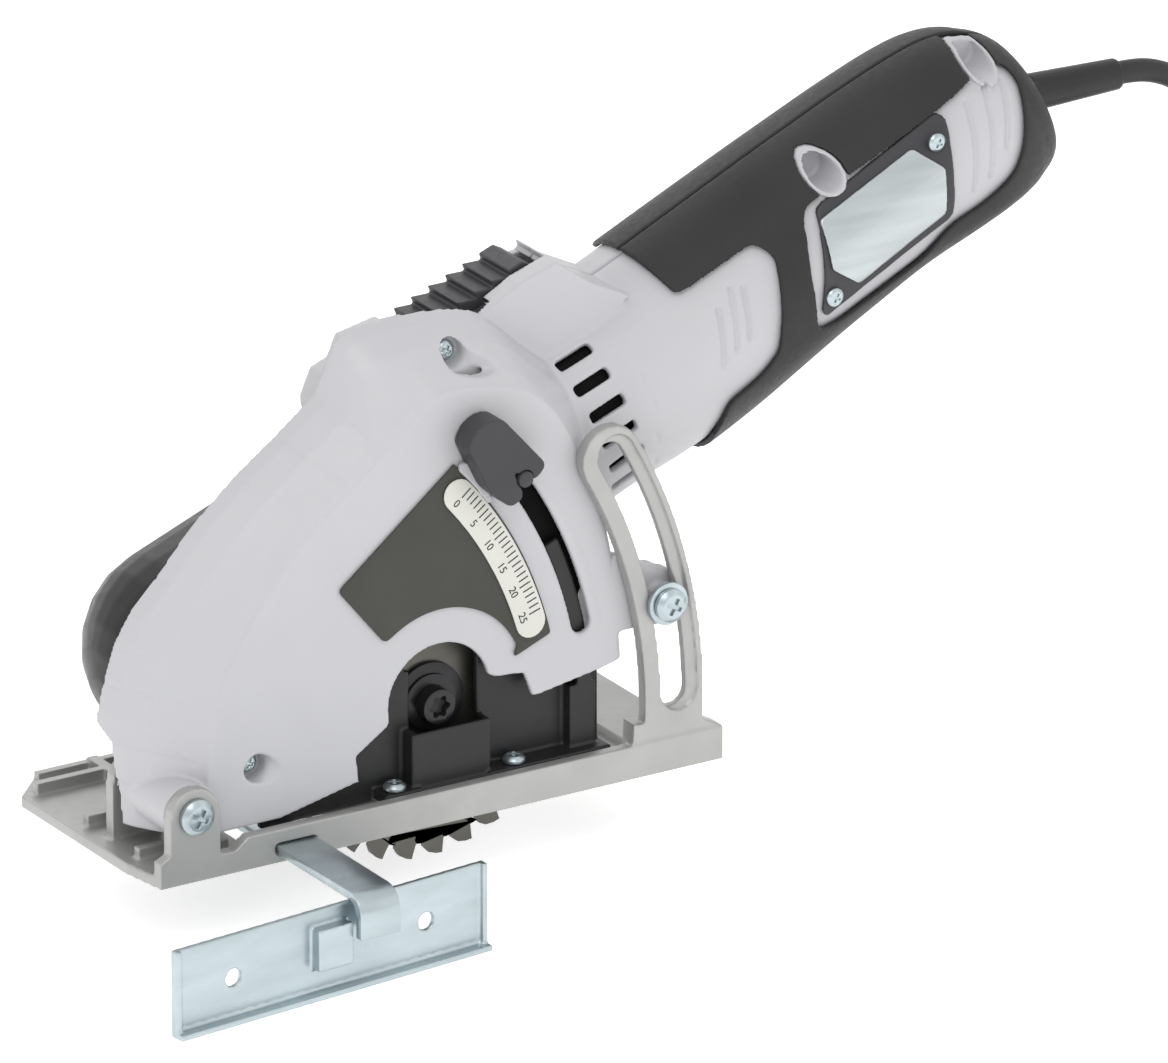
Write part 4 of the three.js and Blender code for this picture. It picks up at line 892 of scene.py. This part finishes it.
def number(value, degrees, near):
    """A dial number as a thin solid, read from the hub."""
    data = bpy.data.curves.new("number", "FONT")
    data.body = str(value)
    data.size = 3.1 * MM
    data.align_x = "CENTER"
    data.align_y = "CENTER"
    data.extrude = 0.04 * MM
    text = new_object("number", data)
    x, z = polar(SCALE_RADIUS - 2, degrees)
    turn = Matrix.Rotation(-math.radians(degrees - 90), 4, "Y")
    text.matrix_world = (Matrix.Translation(Vector((x, near, z)) * MM) @ turn
                         @ Matrix.Rotation(math.radians(90), 4, "X"))
    bpy.context.view_layer.update()
    mesh = bpy.data.meshes.new_from_object(text.evaluated_get(bpy.context.evaluated_depsgraph_get()))
    mesh.transform(text.matrix_world)
    bpy.data.objects.remove(text)
    return new_object("number", mesh)


def add_scale():
    low, high = (Vector(corner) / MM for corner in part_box("scale_panel"))
    panel = bevelled(slab("panel", rounded(PANEL_OUTLINE, 1.6), low.y, high.y), 0.15)
    place_piece(panel, "saw_head", PANEL, ["scale_panel"])
    low, high = (Vector(corner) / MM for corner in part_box("scale_label"))
    label = bevelled(slab("dial_strip", band(SCALE_RADIUS, 4.4, *SCALE_SPAN, 40), low.y, high.y), 0.1)
    place_piece(label, "saw_head", LABEL, ["scale_label"])
    marks = []
    for index in range(TICKS):
        degrees = TICK_SPAN[0] + (TICK_SPAN[1] - TICK_SPAN[0]) * index / (TICKS - 1)
        inner = SCALE_RADIUS + (0.1 if index % 5 == 0 else 0.6)
        corners = [polar(radius, degrees + side * 0.09) for radius, side in
                   ((inner, -1), (SCALE_RADIUS + 3.6, -1), (SCALE_RADIUS + 3.6, 1), (inner, 1))]
        marks.append(slab("tick", corners, low.y - 0.06, low.y + 0.1))
        if index % 5 == 0:
            marks.append(number(TICKS - 1 - index, degrees, low.y - 0.03))
    print_marks = joined("dial_marks", marks)
    place_piece(print_marks, "saw_head", INK)
    low, high = (Vector(corner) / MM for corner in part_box("depth_stop_block"))
    stop = cut(slab("stop_block", rounded(STOP_OUTLINE, 2.2), low.y, high.y),
               rod("bore", *polar(STOP_RADIUS, 37), 2.4, -60, 0))
    place_piece(moulded(stop, 0.3, 5), "depth_stop", DARK, ["depth_stop_block"])
    pointer = join(slab("pointer", band(114.6, 1.5, 38.2, 43, 12), high.y - 1.6, high.y - 0.1),
                   slab("tip", band(113.9, 1, 36.6, 38.6, 8), high.y - 1.3, high.y - 0.1))
    place_piece(moulded(pointer, 0.25, 2), "depth_stop", LIGHT)


add_scale()


# ---------------------------------------------------------------- fence
def add_fence_bar():
    """The bar with its engraved divisions, long and short in turn."""
    bar = copy_of("fence_bar", "graduated_bar")
    low, high = (Vector(corner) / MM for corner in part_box("fence_bar"))
    lines = []
    for index in range(14):
        y = -44 - 2.2 * index
        length = 5.6 if index % 5 == 0 else 3.4
        lines.append(block("line", low.x + 0.8, low.x + 0.8 + length, y, y + 0.5, high.z - 0.25, high.z + 1))
    cut(bar, *lines)
    bevelled(bar, 0.25)
    place_piece(bar, "fence", ZINC, ["fence_bar"])


add_fence_bar()


# ---------------------------------------------------------------- studio
def add_floor():
    mesh = bpy.data.meshes.new("studio_floor")
    size = 12
    z = FLOOR_Z * MM
    mesh.from_pydata([(-size, -size, z), (size, -size, z), (size, size, z), (-size, size, z)], [],
                     [(0, 1, 2, 3)])
    floor = new_object("studio_floor", mesh)
    material = surface("studio_paper", (0.93, 0.93, 0.93), 0.8, variation=0.004, grain=40, relief=0.01)
    shader = material.node_tree.nodes["Principled BSDF"]
    shader.inputs["Emission Color"].default_value = (1, 1, 1, 1)
    shader.inputs["Emission Strength"].default_value = 0.45
    floor.data.materials.append(material)


def add_lights():
    bpy.context.scene.view_settings.view_transform = "Standard"
    world = bpy.data.worlds.new("studio")
    world.use_nodes = True
    background = world.node_tree.nodes["Background"]
    background.inputs["Color"].default_value = (1, 1, 1, 1)
    background.inputs["Strength"].default_value = 1
    bpy.context.scene.world = world
    target = Vector((0.15, 0, 0.07))
    for name, place, size, power in (
            ("key", (-0.5, -0.9, 1.3), 0.7, 5), ("fill", (1.1, -0.9, 0.6), 1.0, 1),
            ("rim", (0.4, 1.1, 1.0), 0.8, 2)):
        data = bpy.data.lights.new(name, "AREA")
        data.size = size
        data.energy = power
        light = bpy.data.objects.new(name, data)
        light.location = place
        light.rotation_euler = (target - Vector(place)).to_track_quat("-Z", "Y").to_euler()
        bpy.context.scene.collection.objects.link(light)


add_floor()
add_lights()
